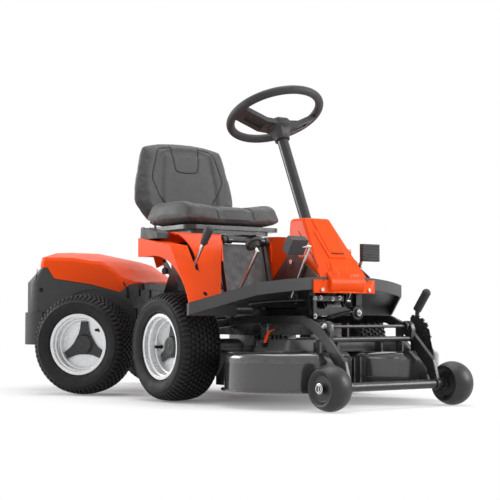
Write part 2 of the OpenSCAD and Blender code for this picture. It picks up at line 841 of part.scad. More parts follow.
module pedal_pad(top) {
    difference() {
        translate([top[0] - 10, -pedal_y - pad_off - pad_w / 2, top[1]]) rotate([0, 32, 0]) difference() {
            intersection() {
                box([-pad_t, -pad_w / 2, -pad_h / 2], [8, pad_w / 2, pad_h / 2]);
                rotate([90, 0, 0]) translate([60 - pad_t, 0, 0]) cylinder(r = 60, h = pad_w + 2, center = true);
            }
            for (i = [-2:2]) box([-pad_t - 1, -pad_w / 2 - 1, i * 10 - 1.5], [-pad_t + 2, pad_w / 2 + 1, i * 10 + 1.5]);
        }
        pedal_rod(top, pedal_rod_r + run_gap);
    }
}

module drive_pedal_arm() {
    color("#b9bbbd") place() pedal_arm(drive_top);
}

module drive_pedal_pad() {
    color("#2a2b2e") place() pedal_pad(drive_top);
}

module brake_pedal_arm() {
    color("#b9bbbd") place() mirror([0, 1, 0]) pedal_arm(brake_top);
}

module brake_pedal_pad() {
    color("#2a2b2e") place() mirror([0, 1, 0]) pedal_pad(brake_top);
}

reverse_knee = [262, 486];

module reverse_rod(r) {
    bent_bar([[reverse_pivot[0] + 4, reverse_y, reverse_pivot[1] + 6], [reverse_knee[0], reverse_y, reverse_knee[1]],
        [reverse_top[0] + 4, reverse_y, reverse_top[1] - 4]], r);
}

module reverse_pedal_arm() {
    color("#b9bbbd") place() difference() {
        union() {
            pin_y(reverse_pivot[0], reverse_pivot[1], reverse_y - 7, reverse_y + 7, pedal_boss_r);
            reverse_rod(pedal_rod_r);
        }
        pin_y(reverse_pivot[0], reverse_pivot[1], reverse_y - 8, reverse_y + 8, pedal_pin_r + run_gap);
    }
}

module reverse_pedal_pad() {
    color("#2a2b2e") place() difference() {
        translate([reverse_top[0], reverse_y, reverse_top[1]]) rotate([0, -40, 0]) difference() {
            union() {
                cylinder(r = 28, h = 9);
                translate([0, 0, -12]) cylinder(r1 = 12, r2 = 20, h = 12.5);
            }
            for (i = [-2:2]) box([i * 10 - 1.5, -30, 7], [i * 10 + 1.5, 30, 10]);
        }
        reverse_rod(pedal_rod_r + run_gap);
    }
}

// Seat

hinge_x = -106;
hinge_r = 8;
rail_low = seat_rest_z;
rail_up = seat_rest_z + 14;
seat_rear = -472;
pan_top = 600;
runner_y = 90;

module seat_rails() {
    color("#2c2d30") place() difference() {
        union() {
            both_sides() {
                box([seat_rest_x - 30, runner_y - 24, rail_low], [hinge_x - 24, runner_y, rail_up]);
                pin_y(hinge_x, seat_hinge_z, 62, 80, 13);
                across(66, 80) polygon([[hinge_x, seat_hinge_z - 13], [hinge_x, seat_hinge_z + 13], [hinge_x - 40, rail_up],
                    [hinge_x - 40, rail_low]]);
            }
            for (x = [seat_rest_x - 10, hinge_x - 90]) box([x, -runner_y, rail_low], [x + 40, runner_y, rail_low + 6]);
        }
        pin_y(hinge_x, seat_hinge_z, -tower_y, tower_y, hinge_r + run_gap);
    }
}

// Rounded plate, symmetrical across the centre line
module plate(y, x0, x1, z, h) {
    r = 36;
    translate([0, 0, z]) linear_extrude(h) {
        translate([x0 + r, -y]) square([x1 - x0 - 2 * r, 2 * y]);
        translate([x0, r - y]) square([x1 - x0, 2 * (y - r)]);
        for (x = [x0 + r, x1 - r], s = [-1, 1]) translate([x, s * (y - r)]) circle(r);
    }
}

module seat_pan() {
    step_z = rail_up + 15;
    spine_w = 58;
    color("#333438") place() union() {
        plate(cushion_w / 2 - 50, seat_rear + 30, seat_rear + cushion_l - 18, rail_up + gap, step_z - rail_up);
        plate(cushion_w / 2 - 14, seat_rear + 8, seat_rear + cushion_l - 8, step_z, pan_top - step_z);
        both_sides() box([seat_rest_x + 10, runner_y + gap, rail_low + 1], [seat_rest_x + 210, runner_y + 7, rail_up + 6]);
        difference() {
            translate([seat_rear + 10, 0, pan_top + 12]) rotate([0, -back_lean, 0])
                box([-back_t - 8, -spine_w, -40], [-back_t - gap, spine_w, back_h * 0.78]);
            box([seat_rear - 200, -spine_w - 1, 0], [seat_rear + 100, spine_w + 1, pan_top - 8]);
        }
        box([seat_rear - 62, -spine_w - 4, pan_top - 13], [seat_rear + 60, spine_w + 4, pan_top - 3]);
    }
}

channel_y = 62;
channel_d = 8;

// Fullness of a padded face: 1 in the middle, falling to 0 at the edge
function full(t, p) = pow(max(0, 1 - pow(abs(t), p)), 0.4);
function dip(t, w) = exp(-t * t / (w * w));

cushion_skin = function (u, v, s) let (
        x = cushion_l / 2 * u * sqrt(1 - 0.24 * v * v),
        y = cushion_w / 2 * v * sqrt(1 - 0.2 * u * u),
        e = full(u, 7) * full(v, 7),
        bolster = 11 * pow(abs(v), 3) - 5,
        channels = channel_d * (dip(abs(y) - channel_y, 8) + 0.9 * dip(abs(y) - 2.35 * channel_y, 9)),
        fall = 16 * pow(max(0, u - 0.35), 2),
        z = s > 0 ? cushion_h * (0.36 + 0.6 * e) + e * (bolster - channels) - fall : cushion_h * 0.16 * (1 - e))
    [seat_rear + cushion_l / 2 + x, y, pan_top + gap + z];

module seat_cushion() {
    color("#2b2c2f") place() pad(22, 26, cushion_skin);
}

panel_edge = 112;

back_skin = function (u, v, s) let (
        half = back_w / 2 * (0.66 + 0.34 * (u > -0.2 ? 1 : sin(90 * max(0, (u + 1) / 0.8)))),
        y = half * v * sqrt(1 - 0.16 * pow(max(0, u), 4)),
        h = back_h / 2 * (1 + u * (1 - 0.14 * pow(abs(v), 3) * max(0, u))),
        e = full(u, 8) * full(v, 8),
        seam = 8 * (dip(abs(y) - panel_edge, 8) * (u > -0.75 && u < 0.72 ? 1 : 0)
            + (abs(y) < panel_edge ? dip(h - back_h * 0.86, 8) + 0.9 * dip(h - back_h * 0.12, 8) : 0)),
        wing = 9 * pow(abs(v), 3) - 4,
        t = s > 0 ? -back_t * 0.4 + e * (back_t * 0.34 + wing - seam) : -back_t * (0.6 + 0.4 * pow(e, 0.8)))
    [t, y, h];

module seat_backrest() {
    color("#2b2c2f") place() translate([seat_rear + 10, 0, pan_top + 12]) rotate([0, -back_lean, 0]) pad(22, 26, back_skin);
}

// Rear section

body_rear = rear_x - body_overhang;
body_front = pivot_x - 85;
corner_x = body_rear + body_corner;
casing_z = 225;
rear_rail_y = 120;
rear_rail_z = 205;
engine_z = 290;
hitch_r = 9.5;
hood_hinge_x = body_rear + 14;
hood_pin_r = 6;
arch_rr = tyre_d / 2 + 18;
neck_w = 35;

module rear_frame() {
    tube_z = rail_z + fork_t + gap;
    tube_h = rail_h - 2 * fork_t - 2 * gap;
    color("#2b2c2e") rear_place() difference() {
        union() {
            translate([pivot_x, 0, tube_z]) cylinder(r = 30, h = tube_h);
            box([body_front - 15, -neck_w, tube_z + 5], [pivot_x, neck_w, tube_z + tube_h - 5]);
            box([body_front - 15, -rear_rail_y, rear_rail_z], [body_front, rear_rail_y, engine_z]);
            both_sides() box([body_rear + 20, rear_rail_y - 12, rear_rail_z], [body_front, rear_rail_y, engine_z]);
            box([body_rear + 30, -rear_rail_y, engine_z - 6], [body_front, rear_rail_y, engine_z]);
            box([body_rear - 22, -40, rear_rail_z], [body_rear + 40, 40, rear_rail_z + 8]);
            box([body_rear + 20, -rear_rail_y, rear_rail_z], [body_rear + 32, rear_rail_y, engine_z]);
            both_sides() box([corner_x, rear_rail_y - 1, engine_z - 6], [corner_x + 22, body_y - cover_t, engine_z]);
            box([body_front - 105, rear_rail_y - 1, engine_z - 6], [body_front - 10, body_y - 45, engine_z]);
        }
        translate([pivot_x, 0, 0]) cylinder(r = pivot_r + run_gap, h = 2 * rail_top);
        translate([body_rear - 6, 0, 0]) cylinder(r = hitch_r, h = 2 * rail_top);
    }
}

module rear_axle() {
    color("#6d6f72") rear_place() union() {
        axle_pair(rear_x, 25);
        both_sides() box([rear_x - 30, rear_rail_y - 40, axle_z], [rear_x + 30, rear_rail_y + 6, rear_rail_z]);
    }
}

module body_plan(i) {
    translate([corner_x, -body_y + i]) square([body_front - corner_x, 2 * (body_y - i)]);
    translate([body_rear + i, -body_y + body_corner]) square([body_corner - i + 1, 2 * (body_y - body_corner)]);
    for (s = [-1, 1]) translate([corner_x, s * (body_y - body_corner)]) circle(body_corner - i);
}

// Line between hood and casing, as distance from the rear axle and height
parting = [[-311, 456], [-186, 456], [-164, 415], [-11, 393], [104, 364], [140, 352], [150, 352]];

module casing_side() {
    polygon(concat([[body_rear - 20, 100]], [for (p = parting) [rear_x + p[0], p[1]]],
        [[body_front, 352], [body_front, casing_z], [rear_x - arch_rr, casing_z], [rear_x - arch_rr - 10, 172],
            [body_rear - 20, 172]]));
}

module rear_casing() {
    bumper = 10;
    color("#3a3c40") rear_place() difference() {
        union() {
            intersection() {
                across(-body_y, body_y) casing_side();
                translate([0, 0, 100]) linear_extrude(hood_z) difference() {
                    body_plan(0);
                    body_plan(cover_t);
                    translate([body_front - cover_t, -body_y + cover_t]) square([2 * cover_t, 2 * (body_y - cover_t)]);
                }
            }
            intersection() {
                translate([0, 0, 172]) linear_extrude(120) difference() {
                    body_plan(-bumper);
                    body_plan(cover_t);
                }
                box([body_rear - 20, -body_y - 20, 172], [rear_x - arch_rr - 8, body_y + 20, hood_z]);
            }
            both_sides() for (y = [120, 168]) across(y, y + 12) union() {
                polygon([[body_rear + 2, 330], [hood_hinge_x + 12, 350], [hood_hinge_x + 12, hood_hinge_z], [body_rear + 2, hood_hinge_z]]);
                translate([hood_hinge_x, hood_hinge_z]) circle(12);
            }
            both_sides() pin_y(hood_hinge_x, hood_hinge_z, 120, 180, hood_pin_r);
        }
        both_sides() across(body_y - 42, body_y + 40) translate([rear_x, axle_z]) circle(arch_rr);
        box([body_rear - 20, -200, 350], [body_rear + cover_t + 0.1, 200, hood_z]);
        box([body_rear - 20, -45, 172], [body_rear + cover_t + 1, 45, rear_rail_z + 18]);
    }
}

module front_shield() {
    z1 = 398;
    color("#3a3c40") rear_place() translate([body_front + gap, 0, 0]) difference() {
        union() {
            box([0, -body_y + 44, casing_z], [5, body_y - 44, 350]);
            box([0, -body_y + 1, 308], [5, body_y - 1, 350]);
            box([0, -body_y + 70, casing_z], [5, body_y - 70, z1]);
            box([4, -body_y + 90, z1 - 24], [10, body_y - 90, z1]);
            for (s = [-1, 1]) box([4, s * 130 - 12, 300], [9, s * 130 + 12, z1 - 20]);
        }
        box([-1, -neck_w - 25, casing_z - 1], [20, neck_w + 25, 296]);
    }
}

engine_x = rear_x - 60;

module engine_block() {
    color("#7a7c7f") rear_place() union() {
        box([engine_x - 95, -110, engine_z], [engine_x + 130, 110, engine_z + 40]);
        translate([engine_x, 0, engine_z + 39]) cylinder(r = 105, h = 55);
        for (i = [0:6]) box([engine_x - 148, -66, engine_z + 8 + 12 * i], [engine_x - 80, 66, engine_z + 14 + 12 * i]);
        box([engine_x - 140, -50, engine_z + 2], [engine_x - 80, 50, engine_z + 90]);
    }
}

module engine_shroud() {
    base = engine_z + 94;
    color("#242528") rear_place() translate([engine_x, 0, base]) difference() {
        union() {
            cylinder(r = 132, h = 38);
            translate([0, 0, 37.9]) cylinder(r1 = 132, r2 = 96, h = 24);
        }
        translate([0, 0, -1]) cylinder(r = 98, h = 32);
        for (i = [0:11]) rotate(30 * i) box([44, -6, 40], [84, 6, 80]);
    }
}

module muffler() {
    x = body_rear + 56;
    color("#8a8178") rear_place() union() {
        pin_y(x, engine_z + 46, -108, 108, 36);
        both_sides() box([x - 14, 84, engine_z], [x + 14, 96, engine_z + 30]);
        pin_y(x, engine_z + 46, 100, 150, 13);
    }
}

module battery() {
    color("#1c1d1f") rear_place() union() {
        box([body_front - 98, rear_rail_y + 10, engine_z], [body_front - 14, body_y - 50, engine_z + 80]);
        for (y = [rear_rail_y + 32, body_y - 72]) translate([body_front - 40, y, engine_z + 79]) cylinder(r = 7, h = 12);
    }
}

nose_r = 65;
// Crown of the hood and drop of its shoulder, along the distance from the rear axle
crown = [[-310, 28], [-290, 12], [-262, 3], [-220, 0], [-90, 7], [25, 30], [79, 46], [128, 79], [148, 106], [155, 118]];
shoulder = [[-310, 24], [-220, 28], [-30, 24], [60, 13], [155, 8]];
stations = [-310, -306, -298, -284, -262, -225, -187, -164, -90, -11, 30, 79, 104, 128, 143, 150, 155];
hood_gap = 2.5;

function hood_half(d) = let (c = body_corner - body_overhang, f = rear_axle_back - 85 - nose_r)
    d < c ? body_y - body_corner + sqrt(max(0, pow(body_corner, 2) - pow(d - c, 2)))
        : d > f ? body_y - nose_r + sqrt(max(0, pow(nose_r, 2) - pow(d - f, 2))) : body_y;
function hood_low(d) = d > 151 ? 401 : lookup(d, parting) + hood_gap;

// Closed section of the hood at one station, drawn in by i for the inner face
function hood_section(d, i) = let (w = hood_half(d) - i, top = hood_z - lookup(d, crown) - i,
        edge = top - lookup(d, shoulder), low = hood_low(d) - (i > 0 ? 3 : 0), lip = min(low + 4, edge - 14),
        half = [[w, low], [w, max(lip, edge - 26)], [w - 3, max(lip + 1, edge - 11)], [w - 14, edge], [w * 0.55, top - (top - edge) * 0.3]])
    [for (p = concat([for (p = half) [-p[0], p[1]]], [[0, top]], [for (k = [4:-1:0]) half[k]])) [rear_x + d, p[0], p[1]]];

module hood() {
    t = cover_t;
    last = len(stations) - 1;
    inner = [for (k = [0:last]) k == 0 ? stations[0] + t : k == last ? stations[last] - t : stations[k]];
    color("#ff5a1f") rear_place() difference() {
        union() {
            difference() {
                loft([for (d = stations) hood_section(d, 0)]);
                loft([for (d = [for (k = inner) if (k >= inner[0] && k <= inner[last]) k]) hood_section(d, t)]);
            }
            difference() {
                box([body_rear - 3, -195, hood_hinge_z - 8], [body_rear + 1, 195, 470]);
                both_sides() for (y = [118, 168 - gap]) box([body_rear - 4, y, 0], [body_rear + 2, y + 15, hood_hinge_z + 18]);
            }
            both_sides() {
                pin_y(hood_hinge_x, hood_hinge_z, 133, 167, 11);
                across(133, 167) polygon([[body_rear - 2, 364], [hood_hinge_x, 370], [hood_hinge_x, hood_hinge_z + 10], [body_rear - 2, 420]]);
            }
        }
        both_sides() pin_y(hood_hinge_x, hood_hinge_z, 130, 170, hood_pin_r + run_gap);
    }
}

trim_y = 112;
trim_t = 5;
trim_low = 478;

// Profile of the trim over the hood's rear edge, at the distance y from the middle
function trim_section(y) = let (ds = [for (k = [0:4]) stations[k]],
        z = [for (d = ds) let (fall = 0.3 * lookup(d, shoulder)) hood_z - lookup(d, crown) - fall * abs(y) / (0.55 * hood_half(d))],
        under = [for (k = [0:4]) [rear_x + ds[k] - (k == 0 ? gap : 0), y, z[k] + gap]],
        over = [for (k = [4:-1:0]) [rear_x + ds[k] - (k == 0 ? trim_t : 0), y, z[k] + (k == 4 ? 2 * gap : trim_t - k)]])
    concat([[rear_x + ds[0] - gap, y, trim_low]], under, over, [[rear_x + ds[0] - trim_t, y, trim_low]]);

module hood_trim() {
    color("#2a2b2e") rear_place() loft([for (k = [-2:2]) trim_section(k * trim_y / 2)]);
}

// Cutting unit

arm_h = 14;
support_z = support_d / 2;
support_crown = 62;
tube_r = 14;
support_pin_r = 8;
spindle_r = 12;
pulley_r = 55;
boss_z = deck_top + 6;
pulley_z = boss_z + 2;
pulley_h = 14;
cover_z = 206;
blade_z = 66;
height_x = 500;
height_z = 205;
quadrant_y = 246;
quadrant_r = 78;
tab_x = support_x - support_d / 2 - 5;

module deck_frame() {
    end_y = support_y - support_w / 2 - gap;
    color("#303235") place() difference() {
        union() {
            both_sides() {
                across(arm_y - arm_t / 2, arm_y + arm_t / 2) polygon([[arm_pivot_x, arm_pivot_z + arm_h], [155, 280], [460, 284],
                    [571, 227], [support_x + 8, support_z + 10], [support_x - 8, support_z - 8], [549, 207], [450, 256],
                    [155, 252], [arm_pivot_x, arm_pivot_z - arm_h]]);
                pin_y(arm_pivot_x, arm_pivot_z, arm_y - arm_t / 2, arm_y + arm_t / 2, arm_h + 6);
            }
            pin_y(support_x, support_z, -end_y, end_y, tube_r);
            pin_y(support_x, support_z, -support_y - support_w / 2 - 4, support_y + support_w / 2 + 4, support_pin_r);
            both_sides() pin_y(support_x, support_z, support_y + support_w / 2 + gap, support_y + support_w / 2 + 4, support_pin_r + 5);
            box([556, -arm_y, 200], [572, arm_y, 216]);
        }
        pin_y(arm_pivot_x, arm_pivot_z, -arm_y - arm_t, arm_y + arm_t, arm_pivot_r + run_gap);
    }
}

module support_wheel(side) {
    color("#2b2c2e") place() translate([support_x, side * support_y, support_z]) turned() difference() {
        intersection() {
            translate([support_pin_r + run_gap, -support_w / 2]) square([support_d / 2 - support_pin_r - run_gap, support_w]);
            translate([support_d / 2 - support_crown, 0]) circle(support_crown);
        }
        for (s = [0, 1]) mirror([0, s]) translate([20, support_w / 2 - 9]) square([20, 10]);
        for (y = [-18, 18]) translate([support_d / 2 - 4, y - 1.5]) square([6, 3]);
    }
}

module right_support_wheel() {
    support_wheel(-1);
}

module left_support_wheel() {
    support_wheel(1);
}

deck_rear = 95;
deck_side = 262;
deck_edge = 26;

module lobes(r, z0, z1, r2) {
    both_sides() translate([lobe_x, lobe_y, z0]) cylinder(r1 = r, r2 = r2, h = z1 - z0, $fn = 96);
}

module deck_shell() {
    side_z = deck_top - deck_edge;
    under = deck_z - 1;
    lug_out = arm_y - arm_t / 2 - gap;
    color("#3b3d41") place() difference() {
        union() {
            difference() {
                union() {
                    lobes(lobe_r, deck_z, side_z, lobe_r);
                    lobes(lobe_r, side_z, deck_top, lobe_r - deck_edge);
                    lobes(lobe_r + deck_flange, deck_z, deck_z + 5, lobe_r + deck_flange);
                    box([deck_rear, -deck_side, deck_z + 5], [lobe_x, deck_side, deck_top - 8]);
                    box([deck_rear + 10, -deck_side + 10, deck_top - 9], [lobe_x, deck_side - 10, deck_top]);
                }
                lobes(lobe_r - deck_t, under, side_z, lobe_r - deck_t);
                lobes(lobe_r - deck_t, side_z, deck_top - deck_t, lobe_r - deck_t - deck_edge + deck_t);
                box([deck_rear + deck_t, -deck_side + deck_t, under], [lobe_x, deck_side - deck_t, deck_top - 8 - deck_t]);
                box([deck_rear - 1, -deck_side + 30, under], [deck_rear + deck_t + 1, deck_side - 30, deck_z + 78]);
            }
            both_sides() {
                translate([lobe_x, lobe_y, deck_top - deck_t]) cylinder(r = 34, h = boss_z - deck_top + deck_t);
                box([495, lug_out - 8, deck_top - 6], [525, lug_out, 262]);
                box([225, lug_out - 8, deck_top - 6], [255, lug_out, 268]);
            }
            for (y = [-90, 90]) across(y - 4, y + 4)
                polygon([[484, deck_top - 3], [516, deck_top - 3], [512, height_z + 12], [488, height_z + 12]]);
            across(quadrant_y - 5, quadrant_y) difference() {
                intersection() {
                    union() {
                        translate([height_x, height_z]) circle(quadrant_r);
                        polygon([[height_x, deck_top - 20], [height_x + quadrant_r, height_z], [tab_x, 160], [tab_x, 92],
                            [tab_x - 20, 92], [540, 130]]);
                    }
                    translate([484, deck_z]) square([tab_x - 484, 300]);
                }
                for (i = [0:4]) translate([height_x, height_z]) rotate(30 + 18 * i) translate([quadrant_r, 0]) circle(6);
            }
        }
        both_sides() translate([lobe_x, lobe_y, under]) cylinder(r = spindle_r + run_gap, h = 2 * deck_top);
        pin_y(height_x, height_z, -quadrant_y, quadrant_y + 1, 8 + run_gap);
    }
}

module belt_cover() {
    rear = 300;
    front = 480;
    high = cover_z;
    module form(i) {
        r = 16;
        hull() for (s = [-1, 1]) {
            for (x = [rear + r, front - r]) translate([x, s * (268 - r), deck_top - (i > 0 ? 1 : 0)]) cylinder(r = r - i, h = 4, $fn = 24);
            for (x = [rear + 14 + r, front - 14 - r]) translate([x, s * (250 - r), high - 8]) cylinder(r1 = r - i, r2 = r - i - 5, h = 8 - i, $fn = 24);
        }
    }
    color("#3f4145") place() difference() {
        form(0);
        form(cover_t);
    }
}

module belt_ring(r) {
    polygon(concat(arc([lobe_x, lobe_y], r, 0, 180, 20), arc([lobe_x, -lobe_y], r, 180, 360, 20)));
}

module deck_belt() {
    color("#1d1e20") place() translate([0, 0, pulley_z + 3]) linear_extrude(pulley_h - 6) difference() {
        belt_ring(pulley_r + 4);
        belt_ring(pulley_r - 5 + gap);
    }
}

module blade(side, turn) {
    reach = lobe_r - deck_t - 8;
    collar_z = deck_top - deck_t - gap;
    color("#85878a") place() translate([lobe_x, side * lobe_y, 0]) union() {
        translate([0, 0, blade_z - 8]) cylinder(r = 15, h = 9);
        translate([0, 0, blade_z]) cylinder(r = spindle_r, h = pulley_z + pulley_h + 8 - blade_z);
        translate([0, 0, blade_z]) cylinder(r = 22, h = collar_z - blade_z);
        translate([0, 0, pulley_z]) rotate_extrude() polygon([[0, 0], [pulley_r, 0], [pulley_r, 2.6], [pulley_r - 5, 2.9],
            [pulley_r - 5, pulley_h - 2.9], [pulley_r, pulley_h - 2.6], [pulley_r, pulley_h], [0, pulley_h]]);
        translate([0, 0, boss_z + gap]) cylinder(r = 20, h = pulley_z - boss_z);
        rotate(turn) intersection() {
            translate([0, 0, blade_z]) cylinder(r = reach, h = 40);
            union() {
                box([-reach, -26, blade_z], [reach, 26, blade_z + 5]);
                for (s = [0, 180]) rotate(s) translate([reach * 0.66, -26, blade_z]) rotate([-40, 0, 0])
                    box([0, -20, 0], [reach, 3, 5]);
            }
        }
    }
}

module right_blade() {
    blade(-1, 20);
}

module left_blade() {
    blade(1, -25);
}

module height_lever() {
    y = quadrant_y + 9;
    color("#2a2b2e") place() union() {
        pin_y(height_x, height_z, -97, y, 8);
        both_sides() pin_y(height_x, height_z, 95, 99, 12);
        bar([height_x, y, height_z], [height_x + 3, y, height_z + 100], 7);
        bar([height_x + 2, y, height_z + 94], [height_x + 45, y, height_z + 148], 14);
        translate([height_x + 45, y, height_z + 148]) sphere(14.5);
    }
}

// Wheels in place

module front_right_tyre() {
    front_wheel(-1) tyre();
}

module front_right_rim() {
    front_wheel(-1) rim();
}

module front_right_cap() {
    front_wheel(-1) cap();
}

module front_left_tyre() {
    front_wheel(1) tyre();
}

module front_left_rim() {
    front_wheel(1) rim();
}

module front_left_cap() {
    front_wheel(1) cap();
}

module rear_right_tyre() {
    rear_wheel(-1) tyre();
}

module rear_right_rim() {
    rear_wheel(-1) rim();
}

module rear_right_cap() {
    rear_wheel(-1) cap();
}

module rear_left_tyre() {
    rear_wheel(1) tyre();
}

module rear_left_rim() {
    rear_wheel(1) rim();
}

module rear_left_cap() {
    rear_wheel(1) cap();
}

front_frame();
pivot_pin();
transaxle();
footplate();
right_fender();
left_fender();
control_panel();
throttle_lever();
ignition_key();
seat_pedestal();
steering_cables();
steering_column();
steering_cover();
steering_shaft();
steering_hub();
steering_ring();
body_screws();
lift_lever_rod();
lift_lever_grip();
drive_pedal_arm();
drive_pedal_pad();
reverse_pedal_arm();
reverse_pedal_pad();
brake_pedal_arm();
brake_pedal_pad();
seat_rails();
seat_pan();
seat_cushion();
seat_backrest();
rear_frame();
rear_axle();
rear_casing();
front_shield();
engine_block();
engine_shroud();
muffler();
battery();
hood();
hood_trim();
front_right_tyre();
front_right_rim();
front_right_cap();
front_left_tyre();
front_left_rim();
front_left_cap();
rear_right_tyre();
rear_right_rim();
rear_right_cap();
rear_left_tyre();
rear_left_rim();
rear_left_cap();
deck_frame();
right_support_wheel();
left_support_wheel();
deck_shell();
belt_cover();
deck_belt();
right_blade();
left_blade();
height_lever();
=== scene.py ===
import json
import math

import bmesh
import bpy
import numpy as np
from mathutils import Matrix, Vector

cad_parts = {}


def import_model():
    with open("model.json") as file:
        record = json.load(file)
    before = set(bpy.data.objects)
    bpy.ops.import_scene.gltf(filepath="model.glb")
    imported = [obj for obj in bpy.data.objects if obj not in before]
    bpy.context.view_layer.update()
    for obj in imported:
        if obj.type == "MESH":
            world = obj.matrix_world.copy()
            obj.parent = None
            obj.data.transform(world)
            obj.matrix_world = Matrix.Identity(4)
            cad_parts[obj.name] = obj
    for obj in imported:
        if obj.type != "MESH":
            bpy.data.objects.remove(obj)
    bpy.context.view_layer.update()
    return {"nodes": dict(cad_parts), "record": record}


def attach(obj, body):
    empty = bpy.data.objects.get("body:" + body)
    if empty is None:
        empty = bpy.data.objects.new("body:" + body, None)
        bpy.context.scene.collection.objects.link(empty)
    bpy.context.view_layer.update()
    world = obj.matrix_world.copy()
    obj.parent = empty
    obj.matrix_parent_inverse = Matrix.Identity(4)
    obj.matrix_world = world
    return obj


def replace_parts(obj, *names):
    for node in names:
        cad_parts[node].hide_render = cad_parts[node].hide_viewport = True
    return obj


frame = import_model()
NODES = frame["nodes"]
scene = bpy.context.scene

# Places are given in millimetres of the machine: X forward, Y left, Z up, front axle over X = 0.
MM = 0.001
ORIGIN = Vector((-182, -74.5, 0))
PIVOT = Vector((-500, 0, 0))
STEER = math.radians(36)
REAR_TURN = Matrix.Rotation(STEER, 3, "Z")
FRONT_AXLE = 0
REAR_AXLE = -740
FORWARD = (1, 0, 0)
LEFT = (0, 1, 0)
RIGHT = (0, -1, 0)
UP = (0, 0, 1)
SIDES = ((-1, "right"), (1, "left"))


def at(p):
    """A point of the front section, in metres."""
    return (Vector(p) - ORIGIN) * MM


def rear(p):
    """A point of the rear section, in metres, at the angle at which it stands."""
    return at(REAR_TURN @ (Vector(p) - PIVOT) + PIVOT)


def add_object(name, data):
    obj = bpy.data.objects.new(name, data)
    scene.collection.objects.link(obj)
    return obj


# Materials

MATERIALS = {}
NOISE_ROUGH = 0.55
NOISE_RANGE = (0.3, 0.7)
WORN_EDGE = (0.52, 0.62)
WORN_PATCH = 60
WORN_ROUGH = 0.3
GLOSS_FINER = 7
GRAIN_HEIGHT = 0.0006
CELLS_DEEPER = 1.6


class Nodes:
    """A material's node tree, with short calls for what the surfaces share."""

    def __init__(self, slot):
        self.slot = slot
        self.material = bpy.data.materials.new(slot)
        self.material.use_nodes = True
        self.tree = self.material.node_tree
        self.shader = self.tree.nodes["Principled BSDF"]
        self.place = self.new("TexCoord").outputs["Object"]

    def new(self, kind, **inputs):
        node = self.tree.nodes.new("ShaderNode" + kind)
        for key, value in inputs.items():
            self.put(node.inputs[key.replace("_", " ")], value)
        return node

    def put(self, socket, value):
        if isinstance(value, bpy.types.NodeSocket):
            self.tree.links.new(value, socket)
        else:
            socket.default_value = value

    def noise(self, scale, detail=3.0):
        return self.new("TexNoise", Vector=self.place, Scale=scale, Detail=detail,
                        Roughness=NOISE_ROUGH).outputs["Fac"]

    def drift(self, scale, low, high, detail=3.0):
        """Soft noise that goes from low to high."""
        return self.span(self.noise(scale, detail), *NOISE_RANGE, low, high)

    def cells(self, scale):
        """How far a point lies from the edge of its cell."""
        node = self.new("TexVoronoi", Vector=self.place, Scale=scale)
        node.feature = "DISTANCE_TO_EDGE"
        return node.outputs["Distance"]

    def fill(self, node, *values):
        for socket, value in zip(node.inputs, values):
            self.put(socket, value)

    def span(self, value, low, high, to_low, to_high):
        node = self.new("MapRange")
        self.fill(node, value, low, high, to_low, to_high)
        return node.outputs["Result"]

    def math(self, kind, a, b):
        node = self.new("Math")
        node.operation = kind
        self.fill(node, a, b)
        return node.outputs["Value"]

    def mix(self, factor, a, b):
        node = self.new("Mix")
        node.data_type = "RGBA"
        self.put(node.inputs["Factor"], factor)
        self.put(node.inputs["A"], a)
        self.put(node.inputs["B"], b)
        return node.outputs["Result"]

    def edges(self):
        """Rubbed edges, broken up by noise."""
        sharp = self.new("NewGeometry").outputs["Pointiness"]
        return self.math("MULTIPLY", self.span(sharp, *WORN_EDGE, 0.0, 1.0),
                         self.span(self.noise(WORN_PATCH), 0.4, 0.6, 0.15, 1.0))

    def bump(self, height, strength, distance, under=None):
        node = self.new("Bump", Height=height, Strength=strength, Distance=distance)
        if under:
            self.put(node.inputs["Normal"], under)
        return node.outputs["Normal"]

    def done(self, **inputs):
        for key, value in inputs.items():
            self.put(self.shader.inputs[key.replace("_", " ")], value)
        MATERIALS[self.slot] = self.material


def rgba(r, g, b):
    return (r, g, b, 1.0)


def shade(colour, factor):
    return rgba(*(min(1.0, c * factor) for c in colour))


def surface(slot, colour, rough, *, metal=0.0, spec=0.5, coat=0.0, coat_rough=0.1, blotch=6.0, vary=0.12,
            grain=900.0, depth=0.05, rough_vary=0.08, cells=0.0, worn=None):
    """Paint, plastic or metal: slow colour drift, uneven gloss, a fine grain and rubbed edges."""
    n = Nodes(slot)
    base = n.mix(n.drift(blotch, 0.0, 1.0), shade(colour, 1 - vary), shade(colour, 1 + vary))
    gloss = n.drift(blotch * GLOSS_FINER, rough - rough_vary, rough + rough_vary)
    if worn:
        edge = n.edges()
        base = n.mix(edge, base, rgba(*worn))
        gloss = n.math("ADD", gloss, n.math("MULTIPLY", edge, WORN_ROUGH - rough))
    normal = n.bump(n.noise(grain, 2.0), depth, GRAIN_HEIGHT)
    if cells:
        normal = n.bump(n.cells(cells), depth * CELLS_DEEPER, GRAIN_HEIGHT, normal)
    n.done(Base_Color=base, Roughness=gloss, Normal=normal, Metallic=metal, Coat_Weight=coat,
           Coat_Roughness=coat_rough, Specular_IOR_Level=spec)


